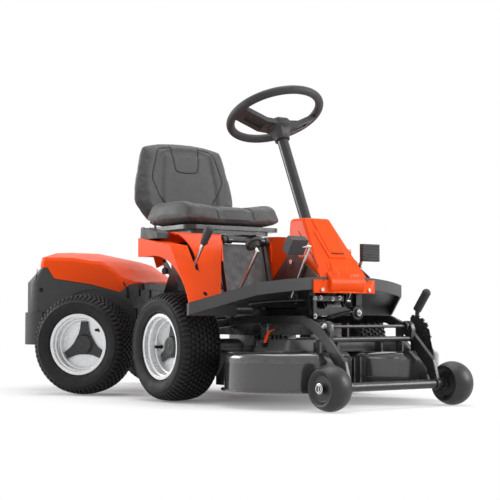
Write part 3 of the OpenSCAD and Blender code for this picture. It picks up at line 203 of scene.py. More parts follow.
surface("orange_cover", (0.93, 0.078, 0.003), 0.36, coat=0.05, coat_rough=0.12, vary=0.03, blotch=3,
        grain=700, depth=0.018, rough_vary=0.04, spec=0.12)
surface("dark_plastic", (0.038, 0.038, 0.039), 0.5, grain=1400, depth=0.16, cells=900, spec=0.42)
surface("grey_plastic", (0.030, 0.030, 0.031), 0.46, grain=1500, depth=0.14, cells=1000, spec=0.42)
surface("frame_paint", (0.011, 0.011, 0.0115), 0.33, coat=0.15, coat_rough=0.14, grain=420,
        worn=(0.05, 0.05, 0.052))
surface("deck_paint", (0.034, 0.034, 0.035), 0.2, coat=1.0, coat_rough=0.05, grain=300, depth=0.03,
        worn=(0.10, 0.10, 0.10), rough_vary=0.05)
surface("cover_plastic", (0.04, 0.04, 0.041), 0.42, grain=1200, depth=0.11, cells=800)
surface("foot_coat", (0.066, 0.066, 0.067), 0.46, grain=1100, depth=0.14, cells=700, spec=0.4)
surface("rim_silver", (0.84, 0.85, 0.86), 0.3, metal=0.4, grain=2600, vary=0.05, rough_vary=0.06,
        worn=(0.72, 0.72, 0.72))
surface("cap_plastic", (0.040, 0.041, 0.043), 0.46, grain=1500, depth=0.13, cells=1000, spec=0.4)
surface("support_rubber", (0.016, 0.016, 0.017), 0.42, grain=500, depth=0.07, spec=0.45)
surface("grip_rubber", (0.042, 0.042, 0.043), 0.55, grain=1600, depth=0.2, cells=1300, spec=0.35)
surface("bright_steel", (0.62, 0.62, 0.61), 0.26, metal=1.0, grain=1800, depth=0.04, rough_vary=0.1,
        vary=0.08)
surface("blade_steel", (0.30, 0.30, 0.31), 0.4, metal=1.0, depth=0.1, rough_vary=0.14,
        worn=(0.6, 0.6, 0.6))
surface("cast_alloy", (0.24, 0.24, 0.25), 0.5, metal=0.9, grain=700, depth=0.25, rough_vary=0.12)
surface("muffler_steel", (0.20, 0.18, 0.16), 0.52, metal=0.9, grain=500, depth=0.2, vary=0.3, blotch=12)
surface("battery_case", (0.02, 0.02, 0.022), 0.4, depth=0.06)
surface("plain_black", (0.006, 0.006, 0.006), 0.7, spec=0.2)


def tyre_surface():
    """Black rubber with mould grain, in two near tones."""
    n = Nodes("tyre_rubber")
    tone = n.span(n.noise(9, 5), 0.35, 0.7, 0.0, 1.0)
    base = n.mix(tone, rgba(0.0085, 0.0085, 0.009), rgba(0.016, 0.016, 0.0165))
    fine = n.bump(n.noise(1300, 2.0), 0.12, GRAIN_HEIGHT)
    normal = n.bump(n.noise(160), 0.10, 0.0012, fine)
    n.done(Base_Color=base, Roughness=n.drift(40, 0.56, 0.72), Normal=normal,
           Specular_IOR_Level=0.3)


def vinyl_surface():
    """Seat vinyl: leather grain of small cells over finer pores, with painted shade in the grain's hollows,
    so it is a little lighter on the grain's tops.
    """
    n = Nodes("seat_vinyl")
    grain = n.span(n.cells(520), 0.0, 0.16, 0.0, 1.0)
    tone = n.mix(n.drift(7, 0.0, 1.0, 4), rgba(0.056, 0.056, 0.0565), rgba(0.070, 0.070, 0.0705))
    # painted shade: colour darkened towards the grain's cell edges, its hollows
    base = n.mix(n.span(grain, 0.0, 1.0, 0.35, 0.0), tone, rgba(0.036, 0.036, 0.036))
    normal = n.bump(n.noise(1500, 2.0), 0.1, 0.0005, n.bump(grain, 0.28, 0.0007))
    n.done(Base_Color=base, Roughness=n.drift(55, 0.42, 0.56), Normal=normal,
           Specular_IOR_Level=0.4, Sheen_Weight=0.08, Sheen_Roughness=0.5)


tyre_surface()
vinyl_surface()


# Rounded edges on the rigid solids

EDGE = {"hood": 1.2, "steering_cover": 3.0, "right_fender": 2.4, "left_fender": 2.4, "rear_casing": 1.6,
        "front_shield": 1.2, "footplate": 1.0, "deck_shell": 1.2, "belt_cover": 1.6, "steering_hub": 2.0,
        "control_panel": 1.6, "seat_pedestal": 1.6, "seat_pan": 1.2, "deck_frame": 1.2}
FINE_EDGE = 0.6
SHARP = math.radians(28)
WELD = 0.00002


def dress(node, slot):
    obj = NODES[node]
    obj.data.materials.clear()
    obj.data.materials.append(MATERIALS[slot])
    edges(obj, node)


def soften(obj, width):
    """A small round along the sharp edges."""
    bevel = obj.modifiers.new("edges", "BEVEL")
    bevel.width = width * MM
    bevel.segments = 2
    bevel.limit_method = "ANGLE"
    bevel.angle_limit = SHARP


def edges(obj, node):
    """Rounds the edges of a CAD solid, once its faces share their corners."""
    weld = obj.modifiers.new("weld", "WELD")
    weld.merge_threshold = WELD
    soften(obj, EDGE.get(node, FINE_EDGE))
    normals = obj.modifiers.new("normals", "WEIGHTED_NORMAL")
    normals.keep_sharp = False


for part in frame["record"]["subparts"]:
    dress(part["node"], part["material_slot"])


# Mesh building

SAME_POINT = 0.000005


def around(axis, start, count):
    """Unit vectors at even steps round an axis, from start on."""
    up = axis.cross(start)
    return [start * math.cos(t) + up * math.sin(t) for t in (2 * math.pi * k / count for k in range(count))]


class Form:
    """Collects vertices and faces of one piece, in millimetres, and places them."""

    def __init__(self, place=at):
        self.place = place
        self.verts = []
        self.faces = []

    def add(self, verts, faces):
        base = len(self.verts)
        self.verts += [Vector(v) for v in verts]
        self.faces += [tuple(i + base for i in f) for f in faces]

    def box(self, low, high):
        (a, b, c), (d, e, f) = low, high
        self.add([(x, y, z) for x in (a, d) for y in (b, e) for z in (c, f)],
                 [(0, 1, 3, 2), (4, 6, 7, 5), (0, 4, 5, 1), (2, 3, 7, 6), (0, 2, 6, 4), (1, 5, 7, 3)])

    def rings(self, rows, closed=False):
        """Skin over rows of points; open rows get end caps."""
        n = len(rows[0])
        m = len(rows)
        faces = [(i * n + j, i * n + (j + 1) % n, (i + 1) % m * n + (j + 1) % n, (i + 1) % m * n + j)
                 for i in range(m if closed else m - 1) for j in range(n)]
        if not closed:
            faces += [tuple(range(n - 1, -1, -1)), tuple(range((m - 1) * n, m * n))]
        self.add([p for row in rows for p in row], faces)

    def tube(self, path, radius, sides=12, closed=False):
        """Round bar along a path."""
        points = [Vector(p) for p in path]
        count = len(points)
        rows = []
        side = None
        for i, p in enumerate(points):
            a = points[i - 1] if i or closed else p
            b = points[(i + 1) % count] if i < count - 1 or closed else p
            run = (b - a).normalized()
            if side is None:
                side = run.orthogonal().normalized()
            side = (side - run * side.dot(run)).normalized()
            rows.append([p + ray * radius for ray in around(run, side, sides)])
        self.rings(rows, closed)

    def lathe(self, centre, axis, profile, sides=40):
        """Turned form: profile of (along, radius) points, closed to the axis at both ends."""
        axis = Vector(axis).normalized()
        rays = around(axis, axis.orthogonal().normalized(), sides)
        profile = [(profile[0][0], 0), *profile, (profile[-1][0], 0)]
        self.rings([[Vector(centre) + axis * d + ray * r for ray in rays] for d, r in profile])

    def prism(self, outline, shift):
        """Flat outline of points carried along a shift."""
        low = [Vector(p) for p in outline]
        self.rings([low, [p + Vector(shift) for p in low]])

    def plate(self, outline, y, thick):
        """Upright plate with an outline in X and Z, from y on."""
        self.prism([(x, y, z) for x, z in outline], (0, thick, 0))

    def strap(self, path, across, width, thick):
        """Flat band along a path, its width along across."""
        points = [Vector(p) for p in path]
        across = Vector(across).normalized() * (width / 2)
        rows = []
        for i, p in enumerate(points):
            run = points[min(i + 1, len(points) - 1)] - points[max(i - 1, 0)]
            out = run.cross(across).normalized() * (thick / 2)
            rows.append([p + across + out, p - across + out, p - across - out, p + across - out])
        self.rings(rows)

    def ring(self, centre, axis, radius, wire, sides=10, steps=48):
        """Round wire bent to a circle."""
        axis = Vector(axis).normalized()
        rays = around(axis, axis.orthogonal().normalized(), steps)
        self.tube([Vector(centre) + ray * radius for ray in rays], wire, sides, closed=True)

    def nut(self, centre, axis, radius, height):
        """Hexagon nut on a washer, with the bolt's end in it."""
        washer, washer_top, nut_foot = radius * 1.5, height * 0.22, height * 0.2
        chamfer, chamfer_z = radius * 0.86, height * 0.9
        bolt, bolt_chamfer, bolt_end = radius * 0.52, radius * 0.4, height * 1.4
        self.lathe(centre, axis, [(0, washer), (washer_top, washer)], 24)
        self.lathe(centre, axis, [(nut_foot, radius), (chamfer_z, radius), (height, chamfer)], 6)
        self.lathe(centre, axis, [(chamfer_z, bolt), (height * 1.3, bolt), (bolt_end, bolt_chamfer)], 16)

    def done(self, name, slot, body="front_section", edge=0.0, angle=32, material=None):
        """Makes the piece; edge is the width of its rounds, angle the least one that stays sharp."""
        mesh = bpy.data.meshes.new(name)
        mesh.from_pydata([self.place(v) for v in self.verts], [], self.faces)
        mesh.update()
        obj = add_object(name, mesh)
        tidy_normals(mesh)
        mesh.materials.append(MATERIALS[material or slot])
        mesh.shade_smooth()
        mesh.set_sharp_from_angle(angle=math.radians(angle))
        if edge:
            soften(obj, edge)
        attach(obj, body)
        return obj


def tidy_normals(mesh):
    """Joins points that coincide and turns every face outward."""
    bm = bmesh.new()
    bm.from_mesh(mesh)
    bmesh.ops.remove_doubles(bm, verts=bm.verts, dist=SAME_POINT)
    bmesh.ops.recalc_face_normals(bm, faces=bm.faces)
    bm.to_mesh(mesh)
    bm.free()


def evaluated(obj):
    """The mesh with its modifiers applied."""
    graph = bpy.context.evaluated_depsgraph_get()
    return bpy.data.meshes.new_from_object(obj.evaluated_get(graph))


# Points of a mesh as arrays, in metres of the frame or millimetres of the machine

def coords(mesh):
    co = np.empty(len(mesh.vertices) * 3)
    mesh.vertices.foreach_get("co", co)
    return co.reshape(-1, 3)


def set_coords(mesh, co):
    mesh.vertices.foreach_set("co", co.ravel())
    mesh.update()


def normals_of(mesh):
    no = np.empty(len(mesh.vertices) * 3)
    mesh.vertex_normals.foreach_get("vector", no)
    return no.reshape(-1, 3)


def to_machine(co):
    return co / MM + np.array(ORIGIN)


def from_machine(p):
    return (p - np.array(ORIGIN)) * MM


def to_rear(p):
    """Points of the rear section, turned to stand in line with the front section."""
    return (p - np.array(PIVOT)) @ np.array(REAR_TURN) + np.array(PIVOT)


def from_rear(p):
    return (p - np.array(PIVOT)) @ np.array(REAR_TURN).T + np.array(PIVOT)


# Seat cushion and backrest: the CAD form, blown up as vinyl over foam, then sewn

VOXEL = 0.005
SIM_FRAMES = 20
SEAM_WIDTH = 2.6
SEAM_DEPTH = 2.4
FACING_FROM = 0.15
FACING_FADE = 0.25


def stuffed(node, name, form, held, seams, *, shrink, swell):
    """A padded piece from a CAD node: formed, remeshed, shrunk, inflated as cloth and sewn."""
    obj = add_object(name, NODES[node].data.copy())
    set_coords(obj.data, from_machine(form(to_machine(coords(obj.data)))))
    remesh = obj.modifiers.new("remesh", "REMESH")
    remesh.mode = "VOXEL"
    remesh.voxel_size = VOXEL
    obj.data = evaluated(obj)
    obj.modifiers.clear()
    start = coords(obj.data)
    pinned = held(to_machine(start))
    set_coords(obj.data, start - normals_of(obj.data) * (shrink * MM * (~pinned))[:, None])
    inflate(obj, pinned, swell)
    smooth = obj.modifiers.new("smooth", "SMOOTH")
    smooth.factor = 0.5
    smooth.iterations = 4
    finer = obj.modifiers.new("finer", "SUBSURF")
    finer.levels = 1
    finer.render_levels = 1
    obj.data = evaluated(obj)
    obj.modifiers.clear()
    sew(obj.data, seams)
    obj.data.materials.clear()
    obj.data.materials.append(MATERIALS["seat_vinyl"])
    obj.data.shade_smooth()
    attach(obj, "seat")
    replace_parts(obj, node)
    return obj


def inflate(obj, pinned, swell):
    """Runs the cover as cloth under pressure; no point moves further than swell."""
    before = coords(obj.data)
    group = obj.vertex_groups.new(name="held")
    group.add([int(i) for i in np.nonzero(pinned)[0]], 1.0, "REPLACE")
    cloth = obj.modifiers.new("cloth", "CLOTH")
    vinyl = cloth.settings
    vinyl.quality = 5
    vinyl.mass = 0.4
    vinyl.tension_stiffness = 25
    vinyl.compression_stiffness = 25
    vinyl.shear_stiffness = 15
    vinyl.bending_stiffness = 4
    vinyl.use_pressure = True
    vinyl.uniform_pressure_force = 4
    vinyl.vertex_group_mass = "held"
    vinyl.effector_weights.gravity = 0
    cloth.collision_settings.use_collision = False
    cloth.point_cache.frame_end = SIM_FRAMES
    for f in range(1, SIM_FRAMES + 1):
        scene.frame_set(f)
    result = coords(evaluated(obj))
    scene.frame_set(1)
    obj.modifiers.clear()
    obj.vertex_groups.clear()
    move = result - before
    length = np.linalg.norm(move, axis=1)
    limit = np.minimum(1.0, swell * MM / np.maximum(length, 1e-9))
    set_coords(obj.data, before + move * limit[:, None])


def sew(mesh, seams):
    """Draws the skin in along each seam line; a seam is a plane's two axes, a facing and a path."""
    co = coords(mesh)
    no = normals_of(mesh)
    machine = to_machine(co)
    depth = np.zeros(len(co))
    for plane, facing, path in seams:
        flat = machine[:, plane]
        away = np.full(len(co), np.inf)
        for a, b in zip(path[:-1], path[1:]):
            a, b = np.array(a, float), np.array(b, float)
            t = np.clip(((flat - a) @ (b - a)) / max((b - a) @ (b - a), 1e-9), 0, 1)
            away = np.minimum(away, np.linalg.norm(flat - (a + t[:, None] * (b - a)), axis=1))
        front = np.clip((no @ np.array(facing) - FACING_FROM) / FACING_FADE, 0, 1)
        depth = np.maximum(depth, SEAM_DEPTH * MM * np.exp(-((away / SEAM_WIDTH) ** 2)) * front)
    set_coords(mesh, co - no * depth[:, None])


def rounded(points, radius, steps=5):
    """A path whose inner corners are rounded."""
    out = [Vector(points[0])]
    for a, b, c in zip(points[:-2], points[1:-1], points[2:]):
        a, b, c = Vector(a), Vector(b), Vector(c)
        p = b + (a - b).normalized() * min(radius, (a - b).length / 2)
        q = b + (c - b).normalized() * min(radius, (c - b).length / 2)
        for k in range(steps + 1):
            t = k / steps
            out.append(p * (1 - t) ** 2 + b * 2 * t * (1 - t) + q * t * t)
    out.append(Vector(points[-1]))
    return out


def both_sides(*paths):
    """Each path and its mirror image, for paths whose points start with Y."""
    return [line for path in paths for line in (path, [(-p[0], *p[1:]) for p in path])]


PANEL_LINE = rounded([(58, 915), (122, 908), (160, 792), (120, 716), (70, 650)], 22)
HEAD_LINE = rounded([(66, 945), (50, 822), (0, 818)], 18)
SIDE_LINE = rounded([(72, -600), (78, -140)], 5)
BACK_LINES = both_sides(PANEL_LINE, HEAD_LINE)
SEAT_LINES = both_sides(SIDE_LINE)
BACK_FACE = (1.0, 0.0, 0.1)
SEAT_FACE = (0.35, 0.0, 1.0)

PAN_TOP = 600.3
PAN_REAR = -472
CUSHION_HEIGHT = 74
CUSHION_HALF = 218
CUSHION_HELD = 601
LONGER, WIDER, HIGHER = 1.04, 1.032, 1.16
BOLSTER = 29
DISH = 7

BACK_FOOT = 612
BACK_HEIGHT = 319
CAD_BACK_HALF = 215
BACK_HALF = 224
BACK_FORWARD = 10
BACK_TALLER = 1.042
BACK_LEVELS = [-1, -0.73, -0.46, -0.16, 0.2, 0.74, 1]
BACK_WIDTHS = [0.66, 0.86, 1, 1, 0.94, 0.84, 0.8]
PLATE_X = -518
PLATE_Z = 620
PLATE_LEAN = 0.14


def cushion_form(p):
    """Fuller sides that rise to bolsters."""
    x, y, z = p.T
    rise = np.clip((z - PAN_TOP) / CUSHION_HEIGHT, 0, 1)
    side = np.abs(y) / CUSHION_HALF
    return np.stack([PAN_REAR + (x - PAN_REAR) * LONGER, y * WIDER,
                     PAN_TOP + (z - PAN_TOP) * HIGHER + rise * (BOLSTER * side ** 3 - DISH)], axis=1)


def cad_back_width(u):
    """Half the width of the CAD backrest, from u = -1 at its foot to 1 at its head."""
    foot = 0.66 + 0.34 * np.where(u > -0.2, 1, np.sin(np.pi / 2 * (u + 1) / 0.8))
    return CAD_BACK_HALF * foot * np.sqrt(1 - 0.16 * np.maximum(0, u) ** 4)


def back_form(p):
    """Widest low down, narrower at the head and at the foot."""
    x, y, z = p.T
    u = np.clip((z - BACK_FOOT) / (BACK_HEIGHT / 2) - 1, -1, 1)
    half = BACK_HALF * np.interp(u, BACK_LEVELS, BACK_WIDTHS)
    return np.stack([x + BACK_FORWARD, y * half / cad_back_width(u),
                     BACK_FOOT + (z - BACK_FOOT) * BACK_TALLER], axis=1)


# Held are the cushion's underside on the pan, and the backrest's rear face on its plate.
cushion = stuffed("seat_cushion", "cushion_cover", cushion_form, lambda p: p[:, 2] < CUSHION_HELD,
                  [((1, 0), SEAT_FACE, path) for path in SEAT_LINES], shrink=5.0, swell=8.0)
backrest = stuffed("seat_backrest", "backrest_cover", back_form,
                   lambda p: p[:, 0] < PLATE_X - PLATE_LEAN * (p[:, 2] - PLATE_Z),
                   [((1, 2), BACK_FACE, path) for path in BACK_LINES], shrink=3.0, swell=6.0)


# Covers made from the CAD solids with their points moved: rear body, steering cover and left fender

CUT_MERGE = 0.01
CAD_STATIONS = [-1060, -1050, -926, -904, -751, -636, -600, -585, -400]
BODY_STATIONS = [-1072, -1062, -952, -925, -777, -662, -620, -585, -400]
BODY_NARROW = 0.8
BODY_HALF = 240
LEAN_FROM_X = -930
LEAN_RUN = 120
LEAN_FROM_Z = 403
LEAN_SLOPE = 1.1
LEAN_MOST = 60
BODY_CUTS = [((0, 0, LEAN_FROM_Z), UP), ((0, 0, 457.5), UP), ((LEAN_FROM_X, 0, 0), FORWARD),
             ((-985, 0, 0), FORWARD)]

# The hood's edge and nose, as pairs of lists: distance in front of the rear axle, and height or drop.
HOOD_EDGE = ([-190, -37, 91], [415, 393, 361])
HOOD_SIDE = 20
NOSE_DROP = ([25, 60, 91, 128, 155], [0, 26, 44, 24, 0])
NOSE_EDGE = ([91, 102, 124], [361, 375, 398])
NOSE_FROM = 93
NOSE_GAP = 2.5
CASING_TOP = 340
NO_EDGE = -1e3

FLANGE_Z = 394
FLANGE_ROOM = 415
FLANGE_FROM_X = 425
FLANGE_FROM_Y = 60

FENDER_INNER = 104
FENDER_DRAW = 0.3
FENDER_FROM = -20
FENDER_RUN = 110
FENDER_CUTS = [((x, 0, 0), FORWARD) for x in (FENDER_FROM, 20, 55, 90)]


def body_form(p):
    """The rear body, narrower, and leaning forward above its edge at the rear."""
    x, y, z = p.T
    lean = (np.clip(LEAN_SLOPE * (z - LEAN_FROM_Z), 0, LEAN_MOST)
            * np.clip((LEAN_FROM_X - x) / LEAN_RUN, 0, 1))
    return np.stack([np.interp(x, CAD_STATIONS, BODY_STATIONS) + lean, y * BODY_NARROW, z], axis=1)


def hood_form(p):
    """The hood's nose, dropped at its sides and cut up to the shield."""
    x, y, z = body_form(p).T
    d = x - REAR_AXLE
    top = z > np.interp(d, *HOOD_EDGE) + HOOD_SIDE
    drop = np.interp(d, *NOSE_DROP) * (np.abs(y) / BODY_HALF) ** 4
    edge = np.where((d > NOSE_FROM) & ~top, np.interp(d, *NOSE_EDGE) + NOSE_GAP, NO_EDGE)
    return np.stack([x, y, np.maximum(z - drop * top, edge)], axis=1)


def casing_form(p):
    """The casing's top edge, raised to meet the hood's nose."""
    x, y, z = body_form(p).T
    d = x - REAR_AXLE
    edge = np.where((d > NOSE_FROM) & (z > CASING_TOP), np.interp(d, *NOSE_EDGE), NO_EDGE)
    return np.stack([x, y, np.maximum(z, edge)], axis=1)


def cover_form(p):
    """A lower flange on both sides of the cover."""
    x, y, z = p.T
    low = (x > FLANGE_FROM_X) & (np.abs(y) > FLANGE_FROM_Y) & (z > FLANGE_Z) & (z < FLANGE_ROOM)
    return np.stack([x, y, np.where(low, FLANGE_Z, z)], axis=1)


def fender_form(p):
    """The left fender's front, drawn in behind the steering cover."""
    x, y, z = p.T
    share = 1 - FENDER_DRAW * np.clip((x - FENDER_FROM) / FENDER_RUN, 0, 1)
    return np.stack([x, FENDER_INNER + (y - FENDER_INNER) * share, z], axis=1)


def remould(node, body, form, cuts=()):
    """A piece made from a CAD solid with its points moved, which stands for it."""
    obj = add_object(node + "_form", NODES[node].data.copy())
    rear_part = body != "front_section"
    start = to_machine(coords(obj.data))
    set_coords(obj.data, to_rear(start) if rear_part else start)
    mesh = bmesh.new()
    mesh.from_mesh(obj.data)
    for place, across in cuts:
        bmesh.ops.bisect_plane(mesh, geom=mesh.verts[:] + mesh.edges[:] + mesh.faces[:], dist=CUT_MERGE,
                               plane_co=place, plane_no=across)
    mesh.to_mesh(obj.data)
    mesh.free()
    moved = form(coords(obj.data))
    set_coords(obj.data, from_machine(from_rear(moved) if rear_part else moved))
    edges(obj, node)
    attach(obj, body)
    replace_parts(obj, node)


SKIRT = ((-985, 235), (-985, 440), (-952, 440), (-930, 420), (-777, 398), (-662, 369), (-650, 366),
         (-632, 384), (-606, 394), (-596, 394), (-596, 235))
SKIRT_Y = 235


def casing_skirt(side, name):
    """Plate that closes the gap between the casing's side and the hood's edge."""
    skirt = Form(rear)
    skirt.plate(SKIRT, side * SKIRT_Y, thick=-side * 4)
    skirt.done(name + "_casing_skirt", "grey_plastic", "rear_section", edge=1.0)


remould("hood", "hood", hood_form, BODY_CUTS)
remould("hood_trim", "hood", body_form, BODY_CUTS)
remould("rear_casing", "rear_section", casing_form, BODY_CUTS)
remould("battery", "rear_section", body_form)
for side, name in SIDES:
    casing_skirt(side, name)
remould("steering_cover", "front_section", cover_form)
remould("left_fender", "front_section", fender_form, FENDER_CUTS)


# Wheels: a carcass with sidewall rings and small blocks staggered round the tread, valve, three-spoke cap

AXLE_Z = 179
HALF_TRACK = 357.5
OUTWARD = (0, 1, 0)
WHEELS = {"front_right": (FRONT_AXLE, -1, at, (-79, -3)), "front_left": (FRONT_AXLE, 1, at, (30, 66)),
          "rear_right": (REAR_AXLE, -1, rear, (54, 50)), "rear_left": (REAR_AXLE, 1, rear, (-58, -42))}
TREAD_R = 178.4
TREAD_DEPTH = 6.6
CROWN_R = 300
CARCASS_STEPS = 96
INNER_R = 162
TREAD_STATIONS = (0, 15, 30, 44, 56)
SIDEWALL = [(64, 162.2), (70, 157.2), (74, 151.2), (75.4, 149.6), (76.6, 149.2), (77.3, 147.6), (77.2, 145.6),
            (76.2, 144.6), (76.4, 138), (75, 130), (72, 121.6), (69.4, 117.4), (69.6, 115.6), (68.4, 113.8),
            (65.8, 112.6), (63, 110.6), (57.6, 109.2), (57, 103), (46, 102.6), (46, 108), (56, 120),
            (62, 135), (62, 146), (54, 156), (36, 161)]
BLOCKS = 60
BLOCK_ROWS = (-45, -30, -15, 0, 15, 30, 45)
BLOCK_LENGTH = 12.6
BLOCK_WIDTH = 10.4
BLOCK_SKEW = math.radians(16)
BLOCK_TOP = 0.86
BLOCK_SUNK = 0.6
SHOULDER_TOP = 0.84
DISC_FACE = 4
CAP_FACE = 26
SPOKES = 3
SPOKE = ((36, -22), (54, -16.5), (80, -13), (80, 13), (54, 16.5), (36, 22))


def tread(a, height):
    """Radius of the tread a beside its middle, height above the carcass."""
    return TREAD_R - TREAD_DEPTH + height - (CROWN_R - math.sqrt(CROWN_R ** 2 - a * a))


def round_point(angle, a, r):
    return Vector((r * math.cos(angle), a, r * math.sin(angle)))


def block(form, angle, a, skew):
    low, high = [], []
    for t, w in ((-1, -1), (1, -1), (1, 1), (-1, 1)):
        x, y = t * BLOCK_LENGTH / 2, w * BLOCK_WIDTH / 2
        x, y = x * math.cos(skew) - y * math.sin(skew), x * math.sin(skew) + y * math.cos(skew)
        low.append(round_point(angle + x / TREAD_R, a + y, tread(a + y, -BLOCK_SUNK)))
        x, y = x * BLOCK_TOP, y * BLOCK_TOP
        high.append(round_point(angle + x / TREAD_R, a + y, tread(a + y, TREAD_DEPTH)))
    form.rings([low, high])


def shoulder_block(form, angle, side):
    """Block that runs over the tyre's shoulder, in sections of place, foot, top and half width."""
    rows = []
    for a, low, high, half in ((53, 166.2, tread(53, TREAD_DEPTH), 5.4), (62.5, 161.8, 169.4, 5),
                               (68, 157.4, 163.8, 4.6), (71.6, 154, 157.6, 4)):
        rows.append([round_point(angle + t * half / r, side * a, r)
                     for t, r in ((-1, low), (1, low), (SHOULDER_TOP, high), (-SHOULDER_TOP, high))])
    form.rings(rows)


def tyre_form():
    """The carcass as one turned loop, then the blocks on it."""
    form = Form()
    half = [(a, tread(a, 0)) for a in TREAD_STATIONS] + SIDEWALL
    loop = half + [(0, INNER_R)] + [(-a, r) for a, r in half[:0:-1]]
    angles = [2 * math.pi * k / CARCASS_STEPS for k in range(CARCASS_STEPS)]
    form.rings([[round_point(angle, a, r) for a, r in loop] for angle in angles], closed=True)
    pitch = 2 * math.pi / BLOCKS
    for k in range(BLOCKS):
        for row, a in enumerate(BLOCK_ROWS):
            block(form, (k + 0.5 * (row % 2)) * pitch, a, BLOCK_SKEW if row % 2 else -BLOCK_SKEW)
        for side in (-1, 1):
            shoulder_block(form, (k + 0.5) * pitch, side)
    return form


def cap_outline():
    """Three spokes with hollow flanks."""
    outline = []
    for k in range(SPOKES):
        turn = math.radians(90 + 360 / SPOKES * k)
        for along, across in SPOKE:
            outline.append((along * math.cos(turn) - across * math.sin(turn), DISC_FACE,
                            along * math.sin(turn) + across * math.cos(turn)))
    return outline


def dress_wheel(wheel, shape, axle, side, section, valve_place):
    """Tyre, valve, three-spoke cap, and the rings and button on the cap's face."""
    def place(p):
        """Puts a wheel's own point, forward, outward and up from its centre, in its place."""
        return section((axle + p[0], side * (HALF_TRACK + p[1]), AXLE_Z + p[2]))

    body = wheel + "_wheel"
    tyre = Form(place)
    tyre.add(shape.verts, shape.faces)
    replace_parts(tyre.done(wheel + "_tread", "tyre_rubber", body, angle=38), wheel + "_tyre")
    x, z = valve_place
    valve = Form(place)
    valve.lathe((x, DISC_FACE, z), OUTWARD, [(-1, 7), (3, 6.6), (6, 4.4), (16, 4), (17, 5), (25, 4.7),
                                             (26.5, 3.6)], sides=20)
    valve.done(wheel + "_valve", "grip_rubber", body, material="plain_black")
    cap = Form(place)
    cap.prism(cap_outline(), (0, 9, 0))
    cap.lathe((0, DISC_FACE, 0), OUTWARD, [(0, 35), (9, 35), (20, 31.5), (22, 29)], sides=48)
    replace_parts(cap.done(wheel + "_star", "cap_plastic", body, edge=1.6), wheel + "_cap")
    rings = Form(place)
    rings.ring((0, CAP_FACE - 0.5, 0), OUTWARD, radius=26, wire=1.5)
    rings.ring((0, CAP_FACE - 0.3, 0), OUTWARD, radius=15, wire=1.2)
    rings.lathe((0, CAP_FACE - 1, 0), OUTWARD, [(0, 9), (1.8, 8.2), (2.4, 6.5)], sides=32)
    rings.done(wheel + "_cap_rings", "cap_plastic", body)


tyre_shape = tyre_form()
for wheel, where in WHEELS.items():
    dress_wheel(wheel, tyre_shape, *where)


# Rear section: hood latch and catch, casing seam, and a black disc of painted shade for a round hole

CASING_SEAM = [(-996.2, -237.7, 453.9), (-999.1, -237, 437.2), (-1002, -236.2, 420.4),
               (-1004.3, -235.5, 401.8), (-1005.3, -235.1, 379.3), (-1006.2, -234.8, 356.9),
               (-1001.4, -236.3, 336), (-994.1, -238.1, 315.8), (-987.1, -239.4, 295.6)]


def hood_strap():
    """Rubber latch on the casing, held by a knob, and its catch on the hood."""
    latch = Form(rear)
    latch.strap([(-629.5, -242, 384), (-629, -243, 372), (-627, -243, 344)], FORWARD, width=6.5, thick=3)
    latch.lathe((-628, -240, 350), RIGHT, [(0, 6), (3.4, 5.4), (4.2, 4)], sides=20)
    latch.done("hood_latch", "grip_rubber", "rear_section", edge=0.6, material="plain_black")

    catch = Form(rear)
    catch.strap([(-654, -225.5, 410), (-648, -231.5, 401), (-641, -238.5, 391), (-634, -242, 383)],
                (0.8, -0.5, 0), width=7, thick=3)
    catch.done("hood_catch", "grip_rubber", "hood", edge=0.6, material="plain_black")


def casing_marks():
    seam = Form(rear)
    seam.tube(CASING_SEAM, radius=1.3, sides=8)
    seam.done("casing_seam", "grey_plastic", "rear_section", material="plain_black")

    # painted shade: a black disc for the dark of a round hole in the casing
    hole_shade = Form(rear)
    hole_shade.lathe((-978.5, -239.8, 375.4), RIGHT, [(-2, 8.5), (0.4, 8.5), (0.9, 7.6), (0.3, 6.2)], sides=28)
    hole_shade.done("casing_hole_shade", "grey_plastic", "rear_section", material="plain_black")


hood_strap()
casing_marks()


# Front section above the footplate: fender fittings, seat tower, control panel, steering hub, brake, cover

TOWER_Y = (-116, 112)
TOWER_PLATE = 4
GUSSET = ((-463, 318), (-463, 367), (-409, 456), (-385, 475), (-372, 475), (-300, 366), (-296, 318))
TOWER_HORN = ((-420, 430), (-444, 434), (-478, 482), (-470, 494), (-456, 490), (-412, 448))
CHIN = ((434, 422), (447.5, 406.5), (454, 398), (458, 389), (459, 380), (457, 369), (452, 358), (446, 352.5),
        (436, 352))
CHIN_HALF = 72
PANEL = ((-160, 536), (-157, 576), (-150, 580), (-60, 562), (-50, 556), (-45, 536))
# Outline of the black wall of painted shade inside the right fender
FENDER_SHADE_WALL = ((-136, 366), (134, 366), (106, 418), (52, 500), (40, 530), (-136, 530))

COLUMN_FOOT = Vector((363, 0, 330))
COLUMN_TURN = Matrix.Rotation(math.radians(-24.5), 3, "Y")
RING_UP = 705
HUB_OUTLINE = ((-1, -0.55), (-0.55, -1), (0.55, -1), (1, -0.55), (1, 0.55), (0.55, 1), (-0.55, 1), (-1, 0.55))
HUB_SECTIONS = ((-102, 21), (-96, 24), (-60, 33), (-34, 36), (-30, 34), (-28, 29))

PAD_RIBS = 6
RIB_PITCH = 9
COVER_OUT = Vector((0.785, 0, 0.62))
COVER_DOWN = (0.62, 0, -0.785)
COVER_OUTLINE = ((302, -27, 595.5), (387, -24, 488.2), (390.4, -17, 484), (390.4, 31, 484), (387, 38, 488.2),
                 (302, 35, 595.5))
PANEL_SUNK = 2
PANEL_THICK = 4.6
COVER_SEAM = ((284, 65.3, 555.4), (349.3, 78.4, 497.6), (418, 91.2, 434.5))


def fender_tab():
    tab = Form()
    tab.prism([(-139, y, z) for y, z in ((-372, 512), (-322, 512), (-322, 452), (-348, 441))], (3, 0, 0))
    tab.done("fender_tab", "orange_cover", edge=0.8)


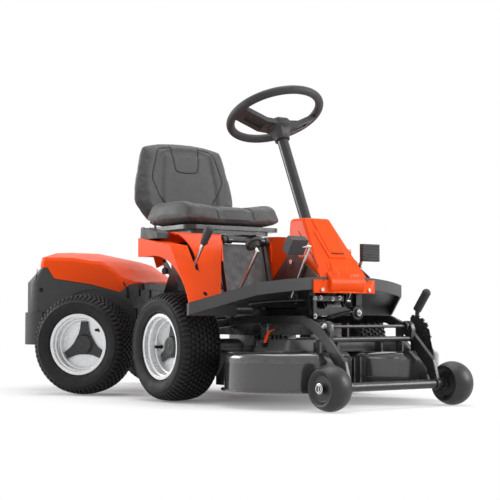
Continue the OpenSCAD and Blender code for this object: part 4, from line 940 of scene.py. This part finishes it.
def fender_screws():
    screws = Form()
    for y in (-350, 276):
        screws.lathe((162.4, y, 350.4), (0.84, 0, 0.54), [(-2, 8), (0.6, 8), (1.2, 7.2), (2.6, 5.6),
                                                          (2.6, 2.6), (1.2, 2.4)], sides=24)
    screws.done("fender_screws", "bright_steel", material="plain_black")


def seat_tower():
    """Plates on both sides of the seat tower, with a horn and two fittings on the right one."""
    gusset = Form()
    for y in TOWER_Y:
        gusset.plate(GUSSET, y, TOWER_PLATE)
    gusset.plate(TOWER_HORN, TOWER_Y[0], TOWER_PLATE)
    gusset.done("tower_gussets", "frame_paint", edge=0.8)

    fitting = Form()
    fitting.lathe((-451, TOWER_Y[0], 445), RIGHT, [(0, 13), (7, 13), (8.5, 11.5), (8.5, 8), (5, 7.4),
                                                   (5, 4), (9, 3.6)], sides=32)
    fitting.lathe((-467, TOWER_Y[0], 484), RIGHT, [(0, 8), (9, 7.6), (10, 6)], sides=24)
    fitting.done("tower_fittings", "grip_rubber")


def cover_chin():
    chin = Form()
    chin.plate(CHIN, -CHIN_HALF, 2 * CHIN_HALF)
    chin.done("cover_chin", "orange_cover", edge=4.0, angle=60)


def panel_cover():
    panel = Form()
    panel.plate(PANEL, -400, 46)
    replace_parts(panel.done("panel_cover", "dark_plastic", edge=2.0), "control_panel")


def painted_shade_plates():
    """Painted shade: a black wall inside the right fender, and a black bar below the footplate, where shade
    falls.
    """
    shade_plates = Form()
    # painted shade: black plates standing for the shade inside the fender and under the footplate
    shade_plates.plate(FENDER_SHADE_WALL, -262, 4)
    shade_plates.box((96, -62, 296), (101, 106, 321))
    shade_plates.done("painted_shade_plates", "dark_plastic", edge=1.0, material="plain_black")


def steering_hub_cover():
    """Moulding under the wheel's hub, with two arms to its ring, built along the column."""
    hub = Form(lambda p: at(COLUMN_TURN @ Vector(p) + COLUMN_FOOT))
    hub.rings([[(half * x, half * y, RING_UP + up) for x, y in HUB_OUTLINE] for up, half in HUB_SECTIONS])
    for side in (-1, 1):
        hub.strap([(0, side * out, RING_UP + up) for out, up in ((40, -48), (70, -44), (140, -9))], FORWARD,
                  width=34, thick=4)
    hub.done("steering_hub_cover", "grip_rubber", "steering_wheel", edge=4.0, material="dark_plastic")


def brake_pad():
    pad = Form()
    pad.box((392, 103.5, 457.5), (407, 178.5, 514.5))
    for k in range(PAD_RIBS):
        pad.box((406, 106.5, 461.5 + RIB_PITCH * k), (409, 175.5, 466 + RIB_PITCH * k))
    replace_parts(pad.done("brake_pad", "grip_rubber", "brake_pedal", edge=1.6), "brake_pedal_pad")


def cover_panel():
    """Raised panel down the middle of the steering cover."""
    panel = Form()
    panel.prism([Vector(p) - COVER_OUT * PANEL_SUNK for p in COVER_OUTLINE], COVER_OUT * PANEL_THICK)
    panel.done("cover_panel", "orange_cover", edge=1.0)


def cover_seams_and_panel_shadow():
    """Dark lines: a black strip of painted shadow below the panel, and one seam on each side of the cover."""
    lines = Form()
    # painted shadow: black strip under the raised panel's lower edge
    lines.strap([(395, -19, 479.6), (395, 33, 479.6)], COVER_DOWN, width=4.5, thick=1.4)
    for side in (-1, 1):
        lines.tube([(x, side * y, z) for x, y, z in COVER_SEAM], radius=1.1, sides=8)
    lines.done("cover_seams_and_panel_shadow", "orange_cover", material="plain_black")


fender_tab()
fender_screws()
seat_tower()
cover_chin()
panel_cover()
painted_shade_plates()
steering_hub_cover()
brake_pad()
cover_panel()
cover_seams_and_panel_shadow()


# Linkage below the footplate: bar, nuts, lift spring and gear

BAR_FACE = 406
NUT_PLACES = ((-96, 335), (-72, 337), (-24, 334), (6, 337))
SPRING_ENDS = Vector((411, -36, 274)), Vector((411, 48, 292))
COIL_R = 5.6
COIL_STEPS = 12
TURNS = 15
HOOK_R = 1.9
GEAR_Y = 82
GEAR_Z = 289
TEETH = 18
TOOTH = ((0, 20), (0.2, 25), (0.5, 25), (0.7, 20))


def linkage():
    """Cross bar with a hanger and its nuts, and a rod from it to the right."""
    bar = Form()
    bar.box((400, -104, 326), (BAR_FACE, 24, 344))
    bar.box((401, -103, 268), (408, -90, 330))
    bar.tube([(300, -262, 319), (330, -200, 326), (404, -30, 333)], radius=5)
    bar.lathe((298, -266, 318.5), (0.5, 1, 0.1), [(-9, 6), (-5, 9), (3, 9), (7, 6)], sides=20)
    bar.done("linkage_bar", "frame_paint", edge=0.8)

    nuts = Form()
    for y, z in NUT_PLACES:
        nuts.nut((BAR_FACE, y, z), FORWARD, radius=4.6, height=6)
    nuts.nut((408, -96.5, 279), FORWARD, radius=5, height=6)
    nuts.done("linkage_nuts", "blade_steel")


def lift_spring():
    spring = Form()
    low, high = SPRING_ENDS
    run = (high - low).normalized()
    rays = around(run, run.orthogonal().normalized(), COIL_STEPS)
    count = TURNS * COIL_STEPS
    spring.tube([low.lerp(high, k / count) + rays[k % COIL_STEPS] * COIL_R for k in range(count + 1)],
                radius=1.7, sides=6)
    spring.tube([(400, -44, 271), (411, -43, 272), low], HOOK_R, sides=8)
    spring.tube([high, (411, 62, 291), (404, 74, GEAR_Z)], HOOK_R, sides=8)
    spring.done("lift_spring", "cast_alloy", material="frame_paint")


def lift_gear():
    gear = Form()
    gear.prism([(402, GEAR_Y + r * math.cos(t), GEAR_Z + r * math.sin(t))
                for t, r in ((2 * math.pi * (k + d) / TEETH, r) for k in range(TEETH) for d, r in TOOTH)],
               (6, 0, 0))
    gear.lathe((400, GEAR_Y, GEAR_Z), FORWARD, [(0, 14), (13, 13), (14, 11)], sides=28)
    gear.done("lift_gear", "cast_alloy", edge=0.5, material="frame_paint")

    nut = Form()
    nut.nut((413, GEAR_Y, GEAR_Z), FORWARD, radius=6.5, height=8)
    nut.done("lift_gear_nut", "bright_steel")


linkage()
lift_spring()
lift_gear()


# Cutting unit: carrying arms, support wheels, arm brackets and rod, latch, shell's edge and ribs, axle clips

SUPPORT_X = 665
SUPPORT_Y = 249
SUPPORT_Z = 68.75
BARREL_R = 62
BARREL = [(a, SUPPORT_Z - BARREL_R + math.sqrt(BARREL_R ** 2 - a * a)) for a in range(-39, 40, 3)]
BARREL_END = [(28, 38), (34, 44), (38, 49)]

ARM = ((-25, 264), (155, 281), (455, 281), (540, 252), (656, 144), (679, 72), (651, 66), (624, 120),
       (588, 155), (565, 187), (530, 217), (488, 239), (437, 257), (155, 253), (-25, 236))
ARM_Y = 173.5
ARM_THICK = 13
AXLE_END = [(-20, 19), (6, 19), (9, 16), (17, 16), (17, 8), (96, 8), (96, 13), (99, 13), (100, 11)]

BRACKET = ((512, 226), (530, 256), (542, 264), (560, 264), (572, 254), (578, 236), (574, 206), (548, 220))
BRACKET_OUTER = 175
BRACKET_INNER = 160
ROD_X = 553
ROD_Z = 247

LATCH = [(362, -262, 190), (360, -256, 205), (358.5, -249.5, 219), (361, -244, 229), (368, -240, 235),
         (380, -238, 237)]

LOBE_X = 385
LOBE_Y = 190
LOBE_R = 198
DECK_TOP = 168
DECK_SKIN_TOP = DECK_TOP + 0.6
SHOULDER = [(-4, 138), (0.5, 138), (0.5, 151), (-0.9, 157), (-4.4, 162), (-10, 166), (-17, DECK_TOP),
            (-27, DECK_SKIN_TOP), (-34, DECK_SKIN_TOP), (-34, DECK_TOP - 2)]
SHOULDER_ANGLES = range(9, 345, 3)
PRESSING = ((-1, 86), (3, 89), (3, 146), (-1, 150))
PRESSING_FROM = -52
PRESSING_SWEEP = 29
PRESSING_STEPS = 16
RIB_ANGLES = (-64.4, -58.4)
RIB_LEVELS = (62, 100, 150)

CLIP_Z = 68.7
CLIP_Y = 291.6


def carrier_arms():
    """Bent arms on the pivot, with the axle ends and two tubes across."""
    arms = Form()
    for side in (-1, 1):
        arms.plate(ARM, side * ARM_Y, side * ARM_THICK)
        arms.lathe((-25, side * ARM_Y, 250), (0, side, 0), [(0, 20), (ARM_THICK, 20)])
        arms.lathe((SUPPORT_X, side * 192, SUPPORT_Z), (0, side, 0), AXLE_END, sides=32)
    arms.tube([(SUPPORT_X, y, SUPPORT_Z) for y in (-190, -60, 60, 190)], radius=14, sides=28)
    arms.tube([(564, y, 208) for y in (-178, -60, 60, 178)], radius=8, sides=20)
    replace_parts(arms.done("carrier_arms", "frame_paint", "deck_carrier", edge=3.0), "deck_frame")


def support_roller(side, name):
    """Barrel wheel with dished ends."""
    roller = Form()
    profile = [(-a, r) for a, r in BARREL_END] + BARREL + BARREL_END[::-1]
    roller.lathe((SUPPORT_X, side * SUPPORT_Y, SUPPORT_Z), LEFT, profile, sides=72)
    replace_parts(roller.done(name + "_roller", "support_rubber", name + "_support", edge=1.2, angle=40),
                name + "_support_wheel")


def arm_bracket(side, name):
    """Bracket on an arm's inner face, and its nut."""
    bracket = Form()
    bracket.plate(BRACKET, side * BRACKET_OUTER, side * (BRACKET_INNER - BRACKET_OUTER))
    bracket.lathe((ROD_X, side * BRACKET_INNER, ROD_Z), (0, -side, 0), [(0, 15), (8, 15), (10, 13)], 32)
    bracket.done(name + "_arm_bracket", "frame_paint", "deck_carrier", edge=0.8)
    nut = Form()
    nut.nut((ROD_X, side * BRACKET_OUTER, ROD_Z), (0, side, 0), radius=7, height=8)
    nut.done(name + "_bracket_nut", "bright_steel", "deck_carrier")


def arm_rod():
    rod = Form()
    rod.tube([(ROD_X, -152, ROD_Z), (ROD_X, 152, ROD_Z)], radius=5, sides=16)
    rod.done("arm_rod", "frame_paint", "deck_carrier")


def deck_latch():
    latch = Form()
    latch.strap(LATCH, (0.9, 0.1, 0.2), width=11, thick=4)
    latch.done("deck_latch", "orange_cover", "deck", edge=1.0)
    foot = Form()
    foot.box((353, -266, 184), (369, -252, 196))
    foot.done("deck_latch_foot", "grip_rubber", "deck", edge=1.0, material="plain_black")


def lobe_point(angle, out, z, side):
    """A point of the shell's round wall on one side, out from it."""
    t = math.radians(angle)
    return LOBE_X + (LOBE_R + out) * math.cos(t), side * (LOBE_Y + (LOBE_R + out) * math.sin(t)), z


def deck_shoulder():
    """Rounded edge of the shell, left open under the arms."""
    skin = Form()
    for side in (-1, 1):
        skin.rings([[lobe_point(a, out, z, side) for out, z in SHOULDER] for a in SHOULDER_ANGLES])
    skin.done("deck_shoulder", "deck_paint", "deck")


def deck_pressing():
    """Raised panel on the left wall, and two upright ribs on each side."""
    pressing = Form()
    angles = [PRESSING_FROM + PRESSING_SWEEP * k / PRESSING_STEPS for k in range(PRESSING_STEPS + 1)]
    pressing.rings([[lobe_point(a, out, z, 1) for out, z in PRESSING] for a in angles])
    for a in RIB_ANGLES:
        for side in (1, -1):
            pressing.tube([lobe_point(a, 0, z, side) for z in RIB_LEVELS], radius=4.6)
    pressing.done("deck_pressing", "deck_paint", "deck", edge=1.0)


def axle_clip(side, name):
    """Washers on both faces of a support wheel, with a ring clip and its pin."""
    clip = Form()
    for y, out in ((288.4, 1), (209.6, -1)):
        clip.lathe((SUPPORT_X, side * y, CLIP_Z), (0, side * out, 0), [(-1, 16), (1.6, 16), (2.2, 14.6)], 32)
    clip.ring((SUPPORT_X, side * (CLIP_Y + 1), CLIP_Z), LEFT, radius=11, wire=1.6)
    clip.tube([(SUPPORT_X, side * CLIP_Y, 54), (SUPPORT_X, side * CLIP_Y, 84)], radius=1.9, sides=10)
    clip.done(name + "_axle_clip", "bright_steel", "deck_carrier")


carrier_arms()
for make in (support_roller, arm_bracket):
    for side, name in SIDES:
        make(side, name)
arm_rod()
deck_latch()
deck_shoulder()
deck_pressing()
for side, name in SIDES:
    axle_clip(side, name)


# Seams of the seat: a black cord in each drawn-in line, painted shade of the seam's crease

STITCH = 6
THREAD_R = 1.5
THREAD_SUNK = 0.4


def stitches(path):
    found = []
    for a, b in zip(path[:-1], path[1:]):
        a, b = Vector(a), Vector(b)
        count = max(2, int((b - a).length / STITCH))
        found += [a.lerp(b, k / count) for k in range(count)]
    return found + [Vector(path[-1])]


def cord_line(obj, path, cast_from):
    """Points of the black cord laid along a seam, where lines cast at the cover meet it."""
    points = []
    for q in stitches(path):
        start, aim = cast_from(q)
        hit, point, normal, _ = obj.ray_cast(at(start), (at(aim) - at(start)).normalized())
        if hit:
            points.append(point / MM + ORIGIN - normal * THREAD_SUNK)
    return points


def seam_shade_cord(name, obj, lines, cast_from):
    form = Form()
    for line in lines:
        points = cord_line(obj, line, cast_from)
        if len(points) > 2:
            form.tube(points, THREAD_R, sides=6)
    # painted shade: the cord is black for the shade in the seam's crease
    form.done(name, "seat_vinyl", "seat", material="plain_black")


seam_shade_cord("backrest_seam_shade", backrest, BACK_LINES, lambda q: ((-200, *q), (-700, *q)))
seam_shade_cord("cushion_seam_shade", cushion, SEAT_LINES, lambda q: ((q[1], q[0], 900), (q[1], q[0], 500)))


# Camera, floor and light

CAMERA = at((3533.0, -2614.4, 284.1))
FOCAL_PX = 1266.3
PHOTO_PX = 500
SENSOR = 36.0
VIEW_TILT = math.radians(2.915)
VIEW = Vector((-0.8098, 0.5866, math.tan(VIEW_TILT))).normalized()
FLOOR_SIZE = 9.0
FLOOR_Z = -0.0005
FLOOR_WHITE = 0.93
FLOOR_VARY = 0.01
FADE = (0.15, 1.55)
WHITE = rgba(1, 1, 1)


def camera():
    lens = bpy.data.cameras.new("camera")
    lens.sensor_width = SENSOR
    lens.lens = FOCAL_PX / PHOTO_PX * SENSOR
    lens.clip_end = 100
    obj = add_object("camera", lens)
    obj.location = CAMERA
    obj.rotation_euler = VIEW.to_track_quat("-Z", "Y").to_euler()
    scene.camera = obj


def seen(tree):
    """1 for what the camera, a reflection or a clear piece shows, 0 for what only lights the scene."""
    path = tree.nodes.new("ShaderNodeLightPath").outputs
    found = path["Is Camera Ray"]
    for kind in ("Is Glossy Ray", "Is Transmission Ray"):
        larger = tree.nodes.new("ShaderNodeMath")
        larger.operation = "MAXIMUM"
        tree.links.new(found, larger.inputs[0])
        tree.links.new(path[kind], larger.inputs[1])
        found = larger.outputs["Value"]
    return found


def floor():
    """Light floor that fades to pure white away from the machine."""
    mesh = bpy.data.meshes.new("floor")
    s = FLOOR_SIZE
    mesh.from_pydata([(-s, -s, 0), (s, -s, 0), (s, s, 0), (-s, s, 0)], [], [(0, 1, 2, 3)])
    obj = add_object("floor", mesh)
    obj.location.z = FLOOR_Z
    n = Nodes("floor")
    away = n.new("VectorMath", Vector=n.place)
    away.operation = "LENGTH"
    fade = n.span(away.outputs["Value"], *FADE, 0.0, 1.0)
    speck = n.drift(2, FLOOR_WHITE - FLOOR_VARY, FLOOR_WHITE + FLOOR_VARY)
    tone = n.new("CombineColor", Red=speck, Green=speck, Blue=speck)
    n.done(Base_Color=tone.outputs["Color"], Roughness=0.9, Specular_IOR_Level=0.0)
    glow = n.new("Emission", Color=WHITE)
    blend = n.new("MixShader")
    shown = n.math("MULTIPLY", seen(n.tree), fade)
    n.fill(blend, shown, n.shader.outputs["BSDF"], glow.outputs["Emission"])
    n.put(n.tree.nodes["Material Output"].inputs["Surface"], blend.outputs["Shader"])
    mesh.materials.append(n.material)


def world(level):
    """White surroundings, which light the scene at a lower level than they show."""
    sky = bpy.data.worlds.new("studio")
    scene.world = sky
    sky.use_nodes = True
    tree = sky.node_tree
    back = tree.nodes["Background"]
    back.inputs["Color"].default_value = WHITE
    amount = tree.nodes.new("ShaderNodeMapRange")
    tree.links.new(seen(tree), amount.inputs["Value"])
    amount.inputs["To Min"].default_value = level
    amount.inputs["To Max"].default_value = 1.0
    tree.links.new(amount.outputs["Result"], back.inputs["Strength"])


def lamp(name, place, aim, size, power):
    data = bpy.data.lights.new(name, "AREA")
    data.shape = "RECTANGLE"
    data.size, data.size_y = size
    data.energy = power
    obj = add_object(name, data)
    obj.location = place
    obj.rotation_euler = (Vector(aim) - Vector(place)).to_track_quat("-Z", "Y").to_euler()


camera()
floor()
world(level=0.5)
lamp("top", place=(0.1, 0.3, 3.6), aim=(0, 0, 0.3), size=(3.0, 3.0), power=74)
lamp("side", place=(-3.2, -2.6, 1.7), aim=(0, 0, 0.4), size=(2.2, 1.8), power=95)
lamp("front", place=(2.8, 2.6, 1.7), aim=(0.2, 0, 0.4), size=(1.6, 1.8), power=82)

scene.view_settings.view_transform = "Standard"
